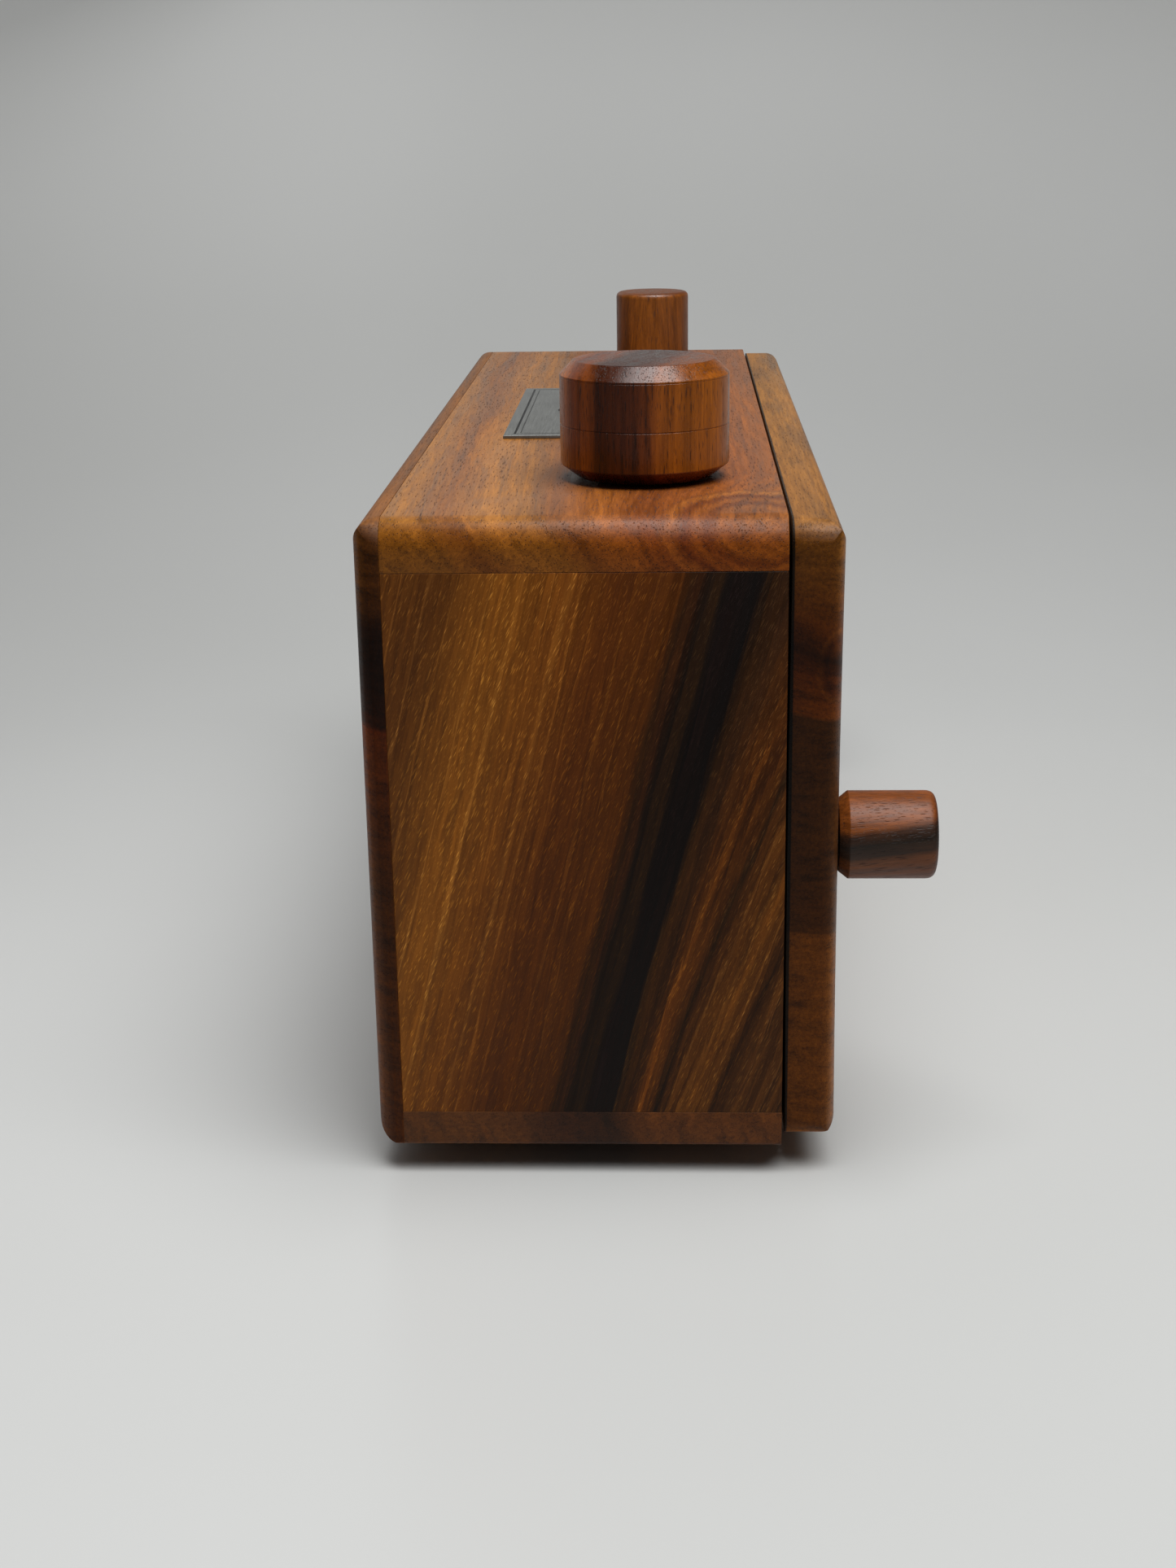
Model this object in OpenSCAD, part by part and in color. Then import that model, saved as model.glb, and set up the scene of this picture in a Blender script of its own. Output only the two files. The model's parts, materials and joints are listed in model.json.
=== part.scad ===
// Roll-film pinhole camera in walnut: a glued box case with a film chamber, a
// lift-off back clamped by two wooden thumbscrews, a winding knob and a supply
// knob that lift and turn, and a swinging shutter over the pinhole.
// +X is the winding end, -Y the front, +Z up. The origin is the mouth of the
// tripod socket, level with the underside of the feet.

/* [Case] */
// Length of the case along X
case_length = 176; // [175:1:180]
// Depth of the case with its back on
case_depth = 58; // [57:0.5:60]
// Height of the case without its feet
case_height = 80.5; // [80:0.5:82]
// Height of the feet under the case
foot_height = 4; // [3:0.5:5]
// Thickness of the front panel
front_thick = 3.3; // [3.2:0.1:4]
// Thickness of the top board
top_thick = 6.3; // [6:0.1:7]
// Thickness of the bottom board
bottom_thick = 4.6; // [4.5:0.1:5]
// Thickness of each end wall
end_thick = 15; // [14:0.5:15]
// Radius of the front panel's rounded edges
front_round = 3.1; // [2:0.1:3.1]
// Radius of the top board's rounded ends
top_round = 3.7; // [2:0.1:4]

/* [Back] */
// Thickness of the lift-off back
back_thick = 6.35; // [6:0.05:6.5]
// Gap between the case and the back
back_gap = 0.35; // [0.3:0.05:0.5]
// How much smaller the back is than the case on each side
back_inset = 0.7; // [0.4:0.1:1]
// Radius of the back's rounded edges
back_round = 2.9; // [2:0.1:3.5]
// Radius of the red window's hole
window_r = 4; // [3:0.5:5]

/* [Film] */
// Width of the picture
picture_w = 84; // [80:1:84]
// Height of the picture
picture_h = 56; // [54:1:56]
// Thickness of the boards beside the light chamber
well_wall_thick = 3; // [2:0.5:3]
// Length of a roll-film spool
spool_length = 65.65; // [65.5:0.05:65.7]
// Radius of a spool's flanges
spool_r = 12.6; // [12.5:0.05:12.7]
// Radius of a spool's core
spool_core_r = 5.85; // [5.5:0.05:6]

/* [Knobs] */
// Distance of each knob's axis from its end of the case
knob_inset = 29; // [29:0.5:30]
// Distance of the knobs' axes from the front face
knob_depth = 34.2; // [34:0.1:35]
// Radius of the winding knob
winding_knob_r = 10.8; // [9:0.1:12]
// Height of the winding knob's top above the case
winding_knob_top = 15.1; // [13:0.1:17]
// Radius of the supply knob
supply_knob_r = 6.4; // [6:0.1:9]
// Height of the supply knob's top above the case
supply_knob_top = 13.3; // [12:0.1:15]
// How far a knob lifts to free its spool
knob_lift = 3.9; // [3:0.1:3.9]

/* [Thumbscrews] */
// Radius of the wooden thumb knobs
thumb_r = 5.5; // [5:0.1:6.5]
// Length of the wooden thumb knobs
thumb_length = 12.1; // [11:0.1:14]
// Height of the thumbscrews above the case's underside
thumb_height = 39.2; // [36:0.1:44]
// How far a thumbscrew backs out before its thread lets go
thumb_travel = 4; // [3:0.1:4]

/* [Nameplate] */
// Length of the nameplate
plate_length = 52; // [40:1:60]
// Width of the nameplate
plate_width = 24.4; // [20:0.2:26]
// Thickness of the nameplate
plate_thick = 0.5; // [0.4:0.1:0.8]

/* [Hidden] */
$fn = 64;

winding = 1;
supply = -1;
eps = 0.01;
arc_steps = 10;

half_length = case_length / 2;
front_y = -case_depth / 2;
inner_front_y = front_y + front_thick;
back_outer_y = case_depth / 2;
back_inner_y = back_outer_y - back_thick;
case_rear_y = back_inner_y - back_gap;

case_bottom = foot_height;
case_top = foot_height + case_height;
floor_z = case_bottom + bottom_thick;
ceiling_z = case_top - top_thick;
middle_z = (floor_z + ceiling_z) / 2;
end_wall_x = half_length - end_thick;
chamber_x = picture_w / 2;
well_x = chamber_x + well_wall_thick;
bottom_ease = 0.5;

gate_thick = 2;
film_y = case_rear_y - 2.8;
gate_front_y = film_y - gate_thick;
gate_round = 1.5;

knob_x = half_length - knob_inset;
knob_y = front_y + knob_depth;
knob_gap = 0.4;
knob_base = case_top + knob_gap;
knob_chamfer = 1.65;
knob_chamfer_in = 2.2;
knob_top_chamfer = 1.8;
supply_round = 1;
felt_thick = 0.3;
felt_r = 6.1;
felt_supply_r = 4.2;

shaft_r = 3;
running = 0.05;
bush_r = 6;
bush_supply_r = 4.9;
shaft_length_in_knob = 10;
collar_r = 4.4;
collar_thick = 1.6;
counterbore_r = 4.5;
counterbore_depth = knob_lift + 0.5;
thrust_thick = 0.5;
thrust_r = 4.3;
thrust_bore_r = 3.1;
key_depth = 2;
key_width = 1.8;
key_half = 4.3;
key_slack = 0.3;
pilot_r = 2.7;

shoulder_h = 1.9;
pivot_flange_r = 6;
pivot_pin_r = 2.92;
pivot_pin_h = 2;
pivot_shank_r = 2.5;
pivot_shank_h = 3;
spool_bore_r = 3;
spool_base = floor_z + shoulder_h + 0.05;
spool_top = spool_base + spool_length;
flange_thick = 2;
collar_base = spool_top + 0.1;

block_x = 20;
block_y = 13;
block_h = 6;
tripod_r = 3.175;
tripod_depth = 10;
tripod_flange_r = 15;
tripod_barrel_r = 6;
tripod_screw_circle = 11;
screw_r = 1.3;
screw_head_r = 2.6;
screw_head_h = 1.4;
screw_recess = 0.3;
screw_bite = 4;
foot_r = 5;
foot_round = 1;
foot_x = half_length - 20;
foot_front_y = front_y + 11;
foot_rear_y = case_rear_y - 9;

pinhole_r = 0.15;
disc_r = 7;
disc_thick = 0.3;
retainer_r = 13;
retainer_thick = 1.5;
retainer_bore_r = 4.5;
retainer_circle = 10;
small_screw_r = 0.8;
small_head_r = 1.7;
small_head_h = 1;
small_screw_depth = 2.6;
light_hole_in_r = 2;
light_hole_out_r = 7;

shutter_reach = 20;
shutter_pad_r = 10;
shutter_hub_r = 6.5;
shutter_thick = 4;
shutter_open = 70;
shutter_gap = 0.1;
shutter_felt_thick = 0.5;
shutter_back_y = front_y - shutter_gap - shutter_felt_thick;
shutter_front_y = shutter_back_y - shutter_thick;
shutter_pin_r = 1.5;
shutter_head_r = 4;
shutter_head_h = 1.6;
stop_r = 1;
stop_reach = 8;
stop_out = 3.4;

window_z = middle_z - 16;
glass_r = 6;
glass_thick = 1.2;
trap_thick = 1.45;
trap_gap = 0.4;
pad_thick = 0.8;
press_thick = 0.55;
press_half_w = 44;
press_half_h = 31;
cover_reach = 12;
cover_r = 7;
cover_hub_r = 4;
cover_thick = 1;
cover_gap = 0.15;
cover_pin_r = 1.2;
cover_head_r = 3;
cover_head_h = 1.2;

thumb_x = half_length - end_thick / 2;
thumb_z = case_bottom + thumb_height;
thumb_base_y = back_outer_y + 0.1;
thumb_chamfer = 1.25;
thumb_chamfer_in = 1;
thumb_round = 1.3;
stud_r = 2;
stud_in_knob = 8;
stud_tip_y = case_rear_y - thumb_travel;
insert_r = 3.5;
insert_depth = 5;
stud_clear = 0.1;
clip_y = back_inner_y + 0.1;
clip_thick = 0.6;
clip_r = 3.7;
groove_r = 1.6;
clip_slack = 0.06;
clip_room_r = 4;

walnut = "#8a5330";
dark_walnut = "#5b3420";
black = "#1d1b1a";
brass = "#b08d4a";
steel = "#8b8e90";
nylon = "#d9d6cc";
rubber = "#222222";

// Points of a quarter circle about a centre, or the centre alone when r is 0
function corner_arc(centre, r, start) =
    r > 0
    ? [for (i = [0 : arc_steps]) centre + r * [cos(start + 90 * i / arc_steps), sin(start + 90 * i / arc_steps)]]
    : [centre];

// Rectangle whose corners are rounded where radii says: lower left, lower
// right, upper right, upper left.
module eased_rect(x0, y0, x1, y1, radii) {
    polygon(concat(
        corner_arc([x0 + radii[0], y0 + radii[0]], radii[0], 180),
        corner_arc([x1 - radii[1], y0 + radii[1]], radii[1], 270),
        corner_arc([x1 - radii[2], y1 - radii[2]], radii[2], 0),
        corner_arc([x0 + radii[3], y1 - radii[3]], radii[3], 90)
    ));
}

// Extrusion of an X-Z outline from y0 to y1
module along_y(y0, y1) {
    translate([0, y1, 0]) rotate([90, 0, 0]) linear_extrude(y1 - y0) children();
}

// Extrusion of a Y-Z outline from x0 to x1
module along_x(x0, x1) {
    translate([x0, 0, 0]) rotate([90, 0, 90]) linear_extrude(x1 - x0) children();
}

// Extrusion of an X-Y outline from z0 to z1
module along_z(z0, z1) {
    translate([0, 0, z0]) linear_extrude(z1 - z0) children();
}

// Round bar along Y, or a cone when the end radii differ
module bar_y(x, z, y0, y1, r, r_end) {
    translate([x, y0, z]) rotate([-90, 0, 0])
        cylinder(h = y1 - y0, r1 = r, r2 = is_undef(r_end) ? r : r_end);
}

// Round bar along Z
module bar_z(x, y, z0, z1, r) {
    translate([x, y, z0]) cylinder(h = z1 - z0, r = r);
}

// Board from one corner to the other
module board(low, high) {
    translate(low) cube(high - low);
}

// Tapered link outline from a hub at the origin to a round pad at -X
module link_outline(reach, hub, pad) {
    hull() {
        circle(hub);
        translate([-reach, 0]) circle(pad);
    }
}

// Panel with its outer face's edges rounded by front_r in front and rear_r
// behind, and the corners of its outline rounded by low_r and high_r
module rounded_panel(x_half, y0, y1, z0, z1, front_r, rear_r, low_r, high_r) {
    intersection() {
        along_x(-x_half, x_half)
            eased_rect(y0, z0, y1, z1, [front_r, rear_r, rear_r, front_r]);
        along_z(z0 - 1, z1 + 1)
            eased_rect(-x_half, y0, x_half, y1, [front_r, front_r, rear_r, rear_r]);
        along_y(y0 - 1, y1 + 1)
            eased_rect(-x_half, z0, x_half, z1, [low_r, low_r, high_r, high_r]);
    }
}

module front_panel() {
    color(dark_walnut)
    difference() {
        rounded_panel(half_length, front_y, inner_front_y, case_bottom, case_top,
                      front_round, 0, bottom_ease, top_round);
        bar_y(0, middle_z, front_y - eps, inner_front_y + eps, light_hole_out_r, light_hole_in_r);
        bar_y(shutter_reach, middle_z, front_y - 1, inner_front_y + 1, shutter_pin_r);
        stop_pins(front_y - eps, inner_front_y - 1);
        for (turn = [90, 210, 330])
            bar_y(retainer_circle * cos(turn), middle_z + retainer_circle * sin(turn),
                  inner_front_y - small_screw_depth, inner_front_y + 1, small_screw_r);
    }
}

module top_board() {
    color(walnut)
    difference() {
        along_y(inner_front_y, case_rear_y)
            eased_rect(-half_length, ceiling_z, half_length, case_top, [0, 0, top_round, top_round]);
        bar_z(knob_x, knob_y, ceiling_z - 1, case_top + 1, bush_r);
        bar_z(-knob_x, knob_y, ceiling_z - 1, case_top + 1, bush_supply_r);
    }
}

module bottom_board() {
    color(dark_walnut)
    difference() {
        along_y(inner_front_y, case_rear_y)
            eased_rect(-half_length, case_bottom, half_length, floor_z, [bottom_ease, bottom_ease, 0, 0]);
        bar_z(0, 0, case_bottom - 1, floor_z + 1, tripod_barrel_r);
        for (turn = [90, 210, 330])
            bar_z(tripod_screw_circle * cos(turn), tripod_screw_circle * sin(turn),
                  case_bottom - 1, floor_z + 1, screw_r);
        for (side = [winding, supply])
            bar_z(side * knob_x, knob_y, floor_z - pivot_shank_h, floor_z + 1, pivot_shank_r);
    }
}

module end_wall(side) {
    difference() {
        board([side > 0 ? end_wall_x : -half_length, inner_front_y, floor_z],
              [side > 0 ? half_length : -end_wall_x, case_rear_y, ceiling_z]);
        bar_y(side * thumb_x, thumb_z, case_rear_y - insert_depth, case_rear_y + 1, insert_r);
    }
}

module winding_end_wall() {
    color(walnut) end_wall(winding);
}

module supply_end_wall() {
    color(walnut) end_wall(supply);
}

module well_wall(side) {
    board([side > 0 ? chamber_x : -well_x, inner_front_y, floor_z],
          [side > 0 ? well_x : -chamber_x, gate_front_y, ceiling_z]);
}

module winding_well_wall() {
    color(black) well_wall(winding);
}

module supply_well_wall() {
    color(black) well_wall(supply);
}

module film_gate() {
    color(black)
    difference() {
        along_z(floor_z, ceiling_z)
            eased_rect(-well_x, gate_front_y, well_x, film_y, [0, 0, gate_round, gate_round]);
        board([-picture_w / 2, gate_front_y - 1, middle_z - picture_h / 2],
              [picture_w / 2, film_y + 1, middle_z + picture_h / 2]);
    }
}

module nameplate() {
    plate_y = (front_y + case_rear_y) / 2;
    color(steel)
    board([-plate_length / 2, plate_y - plate_width / 2, case_top],
          [plate_length / 2, plate_y + plate_width / 2, case_top + plate_thick]);
}

module tripod_block() {
    color(black)
    difference() {
        board([-block_x, -block_y, floor_z], [block_x, block_y, floor_z + block_h]);
        bar_z(0, 0, floor_z - 1, floor_z + block_h + 1, tripod_barrel_r);
        for (turn = [90, 210, 330])
            bar_z(tripod_screw_circle * cos(turn), tripod_screw_circle * sin(turn),
                  floor_z - 1, floor_z + screw_bite, screw_r);
    }
}

module tripod_bush() {
    color(brass)
    difference() {
        union() {
            bar_z(0, 0, 0, case_bottom, tripod_flange_r);
            bar_z(0, 0, case_bottom, floor_z + block_h, tripod_barrel_r);
        }
        bar_z(0, 0, -1, tripod_depth, tripod_r);
        tripod_screw_set();
        for (turn = [90, 210, 330])
            bar_z(tripod_screw_circle * cos(turn), tripod_screw_circle * sin(turn),
                  -1, screw_recess + eps, screw_head_r);
    }
}

// Three countersunk screws, their heads just inside the flange's face
module tripod_screw_set() {
    for (turn = [90, 210, 330])
        translate([tripod_screw_circle * cos(turn), tripod_screw_circle * sin(turn), screw_recess]) {
            cylinder(h = screw_head_h, r1 = screw_head_r, r2 = screw_r);
            translate([0, 0, screw_head_h - eps])
                cylinder(h = floor_z + screw_bite - screw_recess - screw_head_h + eps, r = screw_r);
        }
}

module tripod_screws() {
    color(steel) tripod_screw_set();
}

module feet() {
    color(rubber)
    for (x = [-foot_x, foot_x], y = [foot_front_y, foot_rear_y])
        translate([x, y, 0]) rotate_extrude()
            eased_rect(0, 0, foot_r, foot_height, [0, foot_round, 0, 0]);
}

module shaft_bush(side, outer_r) {
    difference() {
        bar_z(side * knob_x, knob_y, ceiling_z, case_top, outer_r);
        bar_z(side * knob_x, knob_y, ceiling_z - 1, case_top + 1, shaft_r + running);
        bar_z(side * knob_x, knob_y, ceiling_z - 1, ceiling_z + counterbore_depth, counterbore_r);
    }
}

module winding_bush() {
    color(brass) shaft_bush(winding, bush_r);
}

module supply_bush() {
    color(brass) shaft_bush(supply, bush_supply_r);
}

module spool_pivot(side) {
    bar_z(side * knob_x, knob_y, floor_z - pivot_shank_h, floor_z, pivot_shank_r);
    bar_z(side * knob_x, knob_y, floor_z, floor_z + shoulder_h, pivot_flange_r);
    bar_z(side * knob_x, knob_y, floor_z + shoulder_h, floor_z + shoulder_h + pivot_pin_h, pivot_pin_r);
}

module winding_pivot() {
    color(brass) spool_pivot(winding);
}

module supply_pivot() {
    color(brass) spool_pivot(supply);
}

module clamp_inserts() {
    color(brass)
    for (side = [winding, supply])
        difference() {
            bar_y(side * thumb_x, thumb_z, case_rear_y - insert_depth, case_rear_y, insert_r);
            bar_y(side * thumb_x, thumb_z, case_rear_y - insert_depth - 1, case_rear_y + 1,
                  stud_r + running);
        }
}

module pinhole_disc() {
    color(brass)
    difference() {
        bar_y(0, middle_z, inner_front_y, inner_front_y + disc_thick, disc_r);
        bar_y(0, middle_z, inner_front_y - 1, inner_front_y + 1, pinhole_r);
    }
}

module pinhole_retainer() {
    color(black)
    difference() {
        bar_y(0, middle_z, inner_front_y, inner_front_y + retainer_thick, retainer_r);
        bar_y(0, middle_z, inner_front_y - 1, inner_front_y + disc_thick, disc_r);
        bar_y(0, middle_z, inner_front_y, inner_front_y + 3, retainer_bore_r);
        for (turn = [90, 210, 330])
            bar_y(retainer_circle * cos(turn), middle_z + retainer_circle * sin(turn),
                  inner_front_y - 1, inner_front_y + 3, small_screw_r);
    }
}

module pinhole_screws() {
    color(steel)
    for (turn = [90, 210, 330]) {
        x = retainer_circle * cos(turn);
        z = middle_z + retainer_circle * sin(turn);
        head_y = inner_front_y + retainer_thick;
        bar_y(x, z, inner_front_y - small_screw_depth, head_y, small_screw_r);
        bar_y(x, z, head_y, head_y + small_head_h, small_head_r, small_head_r - 0.5);
    }
}

module shutter_pivot() {
    color(brass) {
        bar_y(shutter_reach, middle_z, shutter_front_y - shutter_gap, inner_front_y, shutter_pin_r);
        bar_y(shutter_reach, middle_z, shutter_front_y - shutter_gap - shutter_head_h,
              shutter_front_y - shutter_gap, shutter_head_r - 0.6, shutter_head_r);
    }
}

module shutter_washer() {
    color(brass)
    difference() {
        bar_y(shutter_reach, middle_z, front_y - shutter_felt_thick, front_y, shutter_head_r);
        bar_y(shutter_reach, middle_z, front_y - 2, front_y + 1, shutter_pin_r);
    }
}

// Stop pins on both sides of the lever: the lower one stops it shut, and the
// upper one, turned with the lever, stops it open.
module stop_pins(y0, y1) {
    lean = asin((shutter_pad_r - shutter_hub_r) / shutter_reach);
    beside = (shutter_hub_r + stop_reach * sin(lean)) / cos(lean) + stop_r + 0.2;
    for (stop = [[0, -beside], [shutter_open, beside]]) {
        x = -stop_reach * cos(stop[0]) + stop[1] * sin(stop[0]);
        z = stop_reach * sin(stop[0]) + stop[1] * cos(stop[0]);
        bar_y(shutter_reach + x, middle_z + z, y0, y1, stop_r);
    }
}

module shutter_stops() {
    color(brass) stop_pins(front_y - stop_out, inner_front_y - 1);
}

module shutter_lever() {
    color(walnut)
    difference() {
        along_y(shutter_front_y, shutter_back_y)
            translate([shutter_reach, middle_z])
                link_outline(shutter_reach, shutter_hub_r, shutter_pad_r);
        bar_y(shutter_reach, middle_z, shutter_front_y - 1, shutter_back_y + 1, shutter_pin_r + running);
    }
}

module shutter_felt() {
    color(black)
    bar_y(0, middle_z, shutter_back_y, shutter_back_y + shutter_felt_thick, shutter_pad_r - 1);
}

module thrust_washer(side) {
    difference() {
        bar_z(side * knob_x, knob_y, collar_base + collar_thick,
              collar_base + collar_thick + thrust_thick, thrust_r);
        bar_z(side * knob_x, knob_y, collar_base, case_top, thrust_bore_r);
    }
}

module winding_washer() {
    color(nylon) thrust_washer(winding);
}

module supply_washer() {
    color(nylon) thrust_washer(supply);
}

module winding_knob() {
    height = winding_knob_top - knob_gap;
    color(walnut)
    translate([knob_x, knob_y, knob_base])
    difference() {
        rotate_extrude() polygon([
            [0, 0],
            [winding_knob_r - knob_chamfer_in, 0],
            [winding_knob_r, knob_chamfer],
            [winding_knob_r, height - knob_top_chamfer],
            [winding_knob_r - knob_top_chamfer, height],
            [0, height]
        ]);
        translate([0, 0, -1]) cylinder(h = shaft_length_in_knob + 1, r = shaft_r);
    }
}

module supply_knob() {
    height = supply_knob_top - knob_gap;
    color(walnut)
    translate([-knob_x, knob_y, knob_base])
    difference() {
        rotate_extrude()
            eased_rect(0, 0, supply_knob_r, height, [0, supply_round, supply_round, 0]);
        translate([0, 0, -1]) cylinder(h = shaft_length_in_knob + 1, r = shaft_r);
    }
}

// Shaft with a collar that bears on the spool and a key that turns it
module drive_shaft(side) {
    translate([side * knob_x, knob_y, 0]) {
        bar_z(0, 0, collar_base, knob_base + shaft_length_in_knob, shaft_r);
        bar_z(0, 0, collar_base, collar_base + collar_thick, collar_r);
        bar_z(0, 0, collar_base - key_depth, collar_base, pilot_r);
        board([-key_half, -key_width / 2, collar_base - key_depth],
              [key_half, key_width / 2, collar_base]);
    }
}

module winding_shaft() {
    color(brass) drive_shaft(winding);
}

module supply_shaft() {
    color(brass) drive_shaft(supply);
}

module knob_felt(side, outer_r) {
    difference() {
        bar_z(side * knob_x, knob_y, knob_base - felt_thick, knob_base, outer_r);
        bar_z(side * knob_x, knob_y, case_top - 1, knob_base + 1, shaft_r);
    }
}

module winding_felt() {
    color(black) knob_felt(winding, felt_r);
}

module supply_felt() {
    color(black) knob_felt(supply, felt_supply_r);
}

module take_up_spool() {
    slot_half = key_half + key_slack;
    slot_width = key_width + 2 * key_slack;
    slot_depth = key_depth + key_slack;
    paper_slit = [2 * spool_core_r + 2, 1.2, 50];
    color(black)
    translate([knob_x, knob_y, 0])
    difference() {
        union() {
            bar_z(0, 0, spool_base, spool_top, spool_core_r);
            bar_z(0, 0, spool_base, spool_base + flange_thick, spool_r);
            bar_z(0, 0, spool_top - flange_thick, spool_top, spool_r);
        }
        bar_z(0, 0, spool_base - 1, spool_top + 1, spool_bore_r);
        for (z = [spool_base - 1, spool_top - slot_depth])
            board([-slot_half, -slot_width / 2, z], [slot_half, slot_width / 2, z + slot_depth + 1]);
        translate([0, 0, (spool_base + spool_top) / 2]) cube(paper_slit, center = true);
    }
}

module back_panel() {
    color(dark_walnut)
    difference() {
        rounded_panel(half_length - back_inset / 2, back_inner_y, back_outer_y,
                      case_bottom + back_inset, case_top - back_inset,
                      0, back_round, back_round, top_round);
        for (side = [winding, supply]) {
            bar_y(side * thumb_x, thumb_z, back_inner_y - 1, back_outer_y + 1, stud_r + stud_clear);
            bar_y(side * thumb_x, thumb_z, back_inner_y - 1, clip_y + clip_thick + thumb_travel + 0.2,
                  clip_room_r);
        }
        bar_y(0, window_z, back_inner_y - 1, back_outer_y + 1, window_r);
        bar_y(0, window_z, back_inner_y - 1, back_inner_y + glass_thick, glass_r);
        bar_y(cover_reach, window_z, back_outer_y - 4, back_outer_y + 1, cover_pin_r);
    }
}

module light_trap_board() {
    color(black)
    difference() {
        board([-end_wall_x + trap_gap, back_inner_y - trap_thick, floor_z + trap_gap],
              [end_wall_x - trap_gap, back_inner_y, ceiling_z - trap_gap]);
        bar_y(0, window_z, back_inner_y - trap_thick - 1, back_inner_y + 1, window_r);
    }
}

// Soft pad and metal plate behind the film, both open at the red window
module behind_film(y0, y1, in_by) {
    difference() {
        board([in_by - press_half_w, y0, middle_z - press_half_h + in_by],
              [press_half_w - in_by, y1, middle_z + press_half_h - in_by]);
        bar_y(0, window_z, y0 - 1, y1 + 1, window_r);
    }
}

module pressure_pad() {
    y = back_inner_y - trap_thick;
    color(black) behind_film(y - pad_thick, y, 2);
}

module pressure_plate() {
    y = back_inner_y - trap_thick - pad_thick;
    color(steel) behind_film(y - press_thick, y, 0);
}

module red_window() {
    color("red") bar_y(0, window_z, back_inner_y, back_inner_y + glass_thick, glass_r);
}

module window_pivot() {
    head_y = back_outer_y + 2 * cover_gap + cover_thick;
    color(brass) {
        bar_y(cover_reach, window_z, back_outer_y - 4, head_y, cover_pin_r);
        bar_y(cover_reach, window_z, head_y, head_y + cover_head_h, cover_head_r, cover_head_r - 0.6);
    }
}

module window_cover() {
    y = back_outer_y + cover_gap;
    color(brass)
    difference() {
        along_y(y, y + cover_thick)
            translate([cover_reach, window_z]) link_outline(cover_reach, cover_hub_r, cover_r);
        bar_y(cover_reach, window_z, y - 1, y + cover_thick + 1, cover_pin_r + running);
    }
}

module retaining_clip(side) {
    difference() {
        bar_y(side * thumb_x, thumb_z, clip_y, clip_y + clip_thick, clip_r);
        bar_y(side * thumb_x, thumb_z, clip_y - 1, clip_y + clip_thick + 1, groove_r + clip_slack);
    }
}

module winding_end_clip() {
    color(steel) retaining_clip(winding);
}

module supply_end_clip() {
    color(steel) retaining_clip(supply);
}

module thumb_knob(side) {
    translate([side * thumb_x, thumb_base_y, thumb_z]) rotate([-90, 0, 0])
    difference() {
        rotate_extrude() polygon(concat(
            [[0, 0], [thumb_r - thumb_chamfer_in, 0], [thumb_r, thumb_chamfer]],
            corner_arc([thumb_r - thumb_round, thumb_length - thumb_round], thumb_round, 0),
            [[0, thumb_length]]
        ));
        translate([0, 0, -1]) cylinder(h = stud_in_knob + 1, r = stud_r);
    }
}

module winding_end_thumb_knob() {
    color(walnut) thumb_knob(winding);
}

module supply_end_thumb_knob() {
    color(walnut) thumb_knob(supply);
}

// Stud with a groove that the retaining clip runs in
module thumb_stud(side) {
    groove_slack = 0.05;
    difference() {
        bar_y(side * thumb_x, thumb_z, stud_tip_y, thumb_base_y + stud_in_knob, stud_r);
        difference() {
            bar_y(side * thumb_x, thumb_z, clip_y - groove_slack, clip_y + clip_thick + groove_slack,
                  stud_r + 1);
            bar_y(side * thumb_x, thumb_z, clip_y - 1, clip_y + clip_thick + 1, groove_r);
        }
    }
}

module winding_end_stud() {
    color(steel) thumb_stud(winding);
}

module supply_end_stud() {
    color(steel) thumb_stud(supply);
}

front_panel();
top_board();
bottom_board();
winding_end_wall();
supply_end_wall();
winding_well_wall();
supply_well_wall();
film_gate();
nameplate();
tripod_block();
tripod_bush();
tripod_screws();
feet();
winding_bush();
supply_bush();
winding_pivot();
supply_pivot();
clamp_inserts();
pinhole_disc();
pinhole_retainer();
pinhole_screws();
shutter_pivot();
shutter_washer();
shutter_stops();
shutter_lever();
shutter_felt();
winding_washer();
winding_knob();
winding_shaft();
winding_felt();
take_up_spool();
supply_washer();
supply_knob();
supply_shaft();
supply_felt();
back_panel();
light_trap_board();
pressure_pad();
pressure_plate();
red_window();
window_pivot();
window_cover();
winding_end_clip();
winding_end_thumb_knob();
winding_end_stud();
supply_end_clip();
supply_end_thumb_knob();
supply_end_stud();
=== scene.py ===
import json
import math

import bmesh
import bpy
from mathutils import Matrix, Vector


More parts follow.
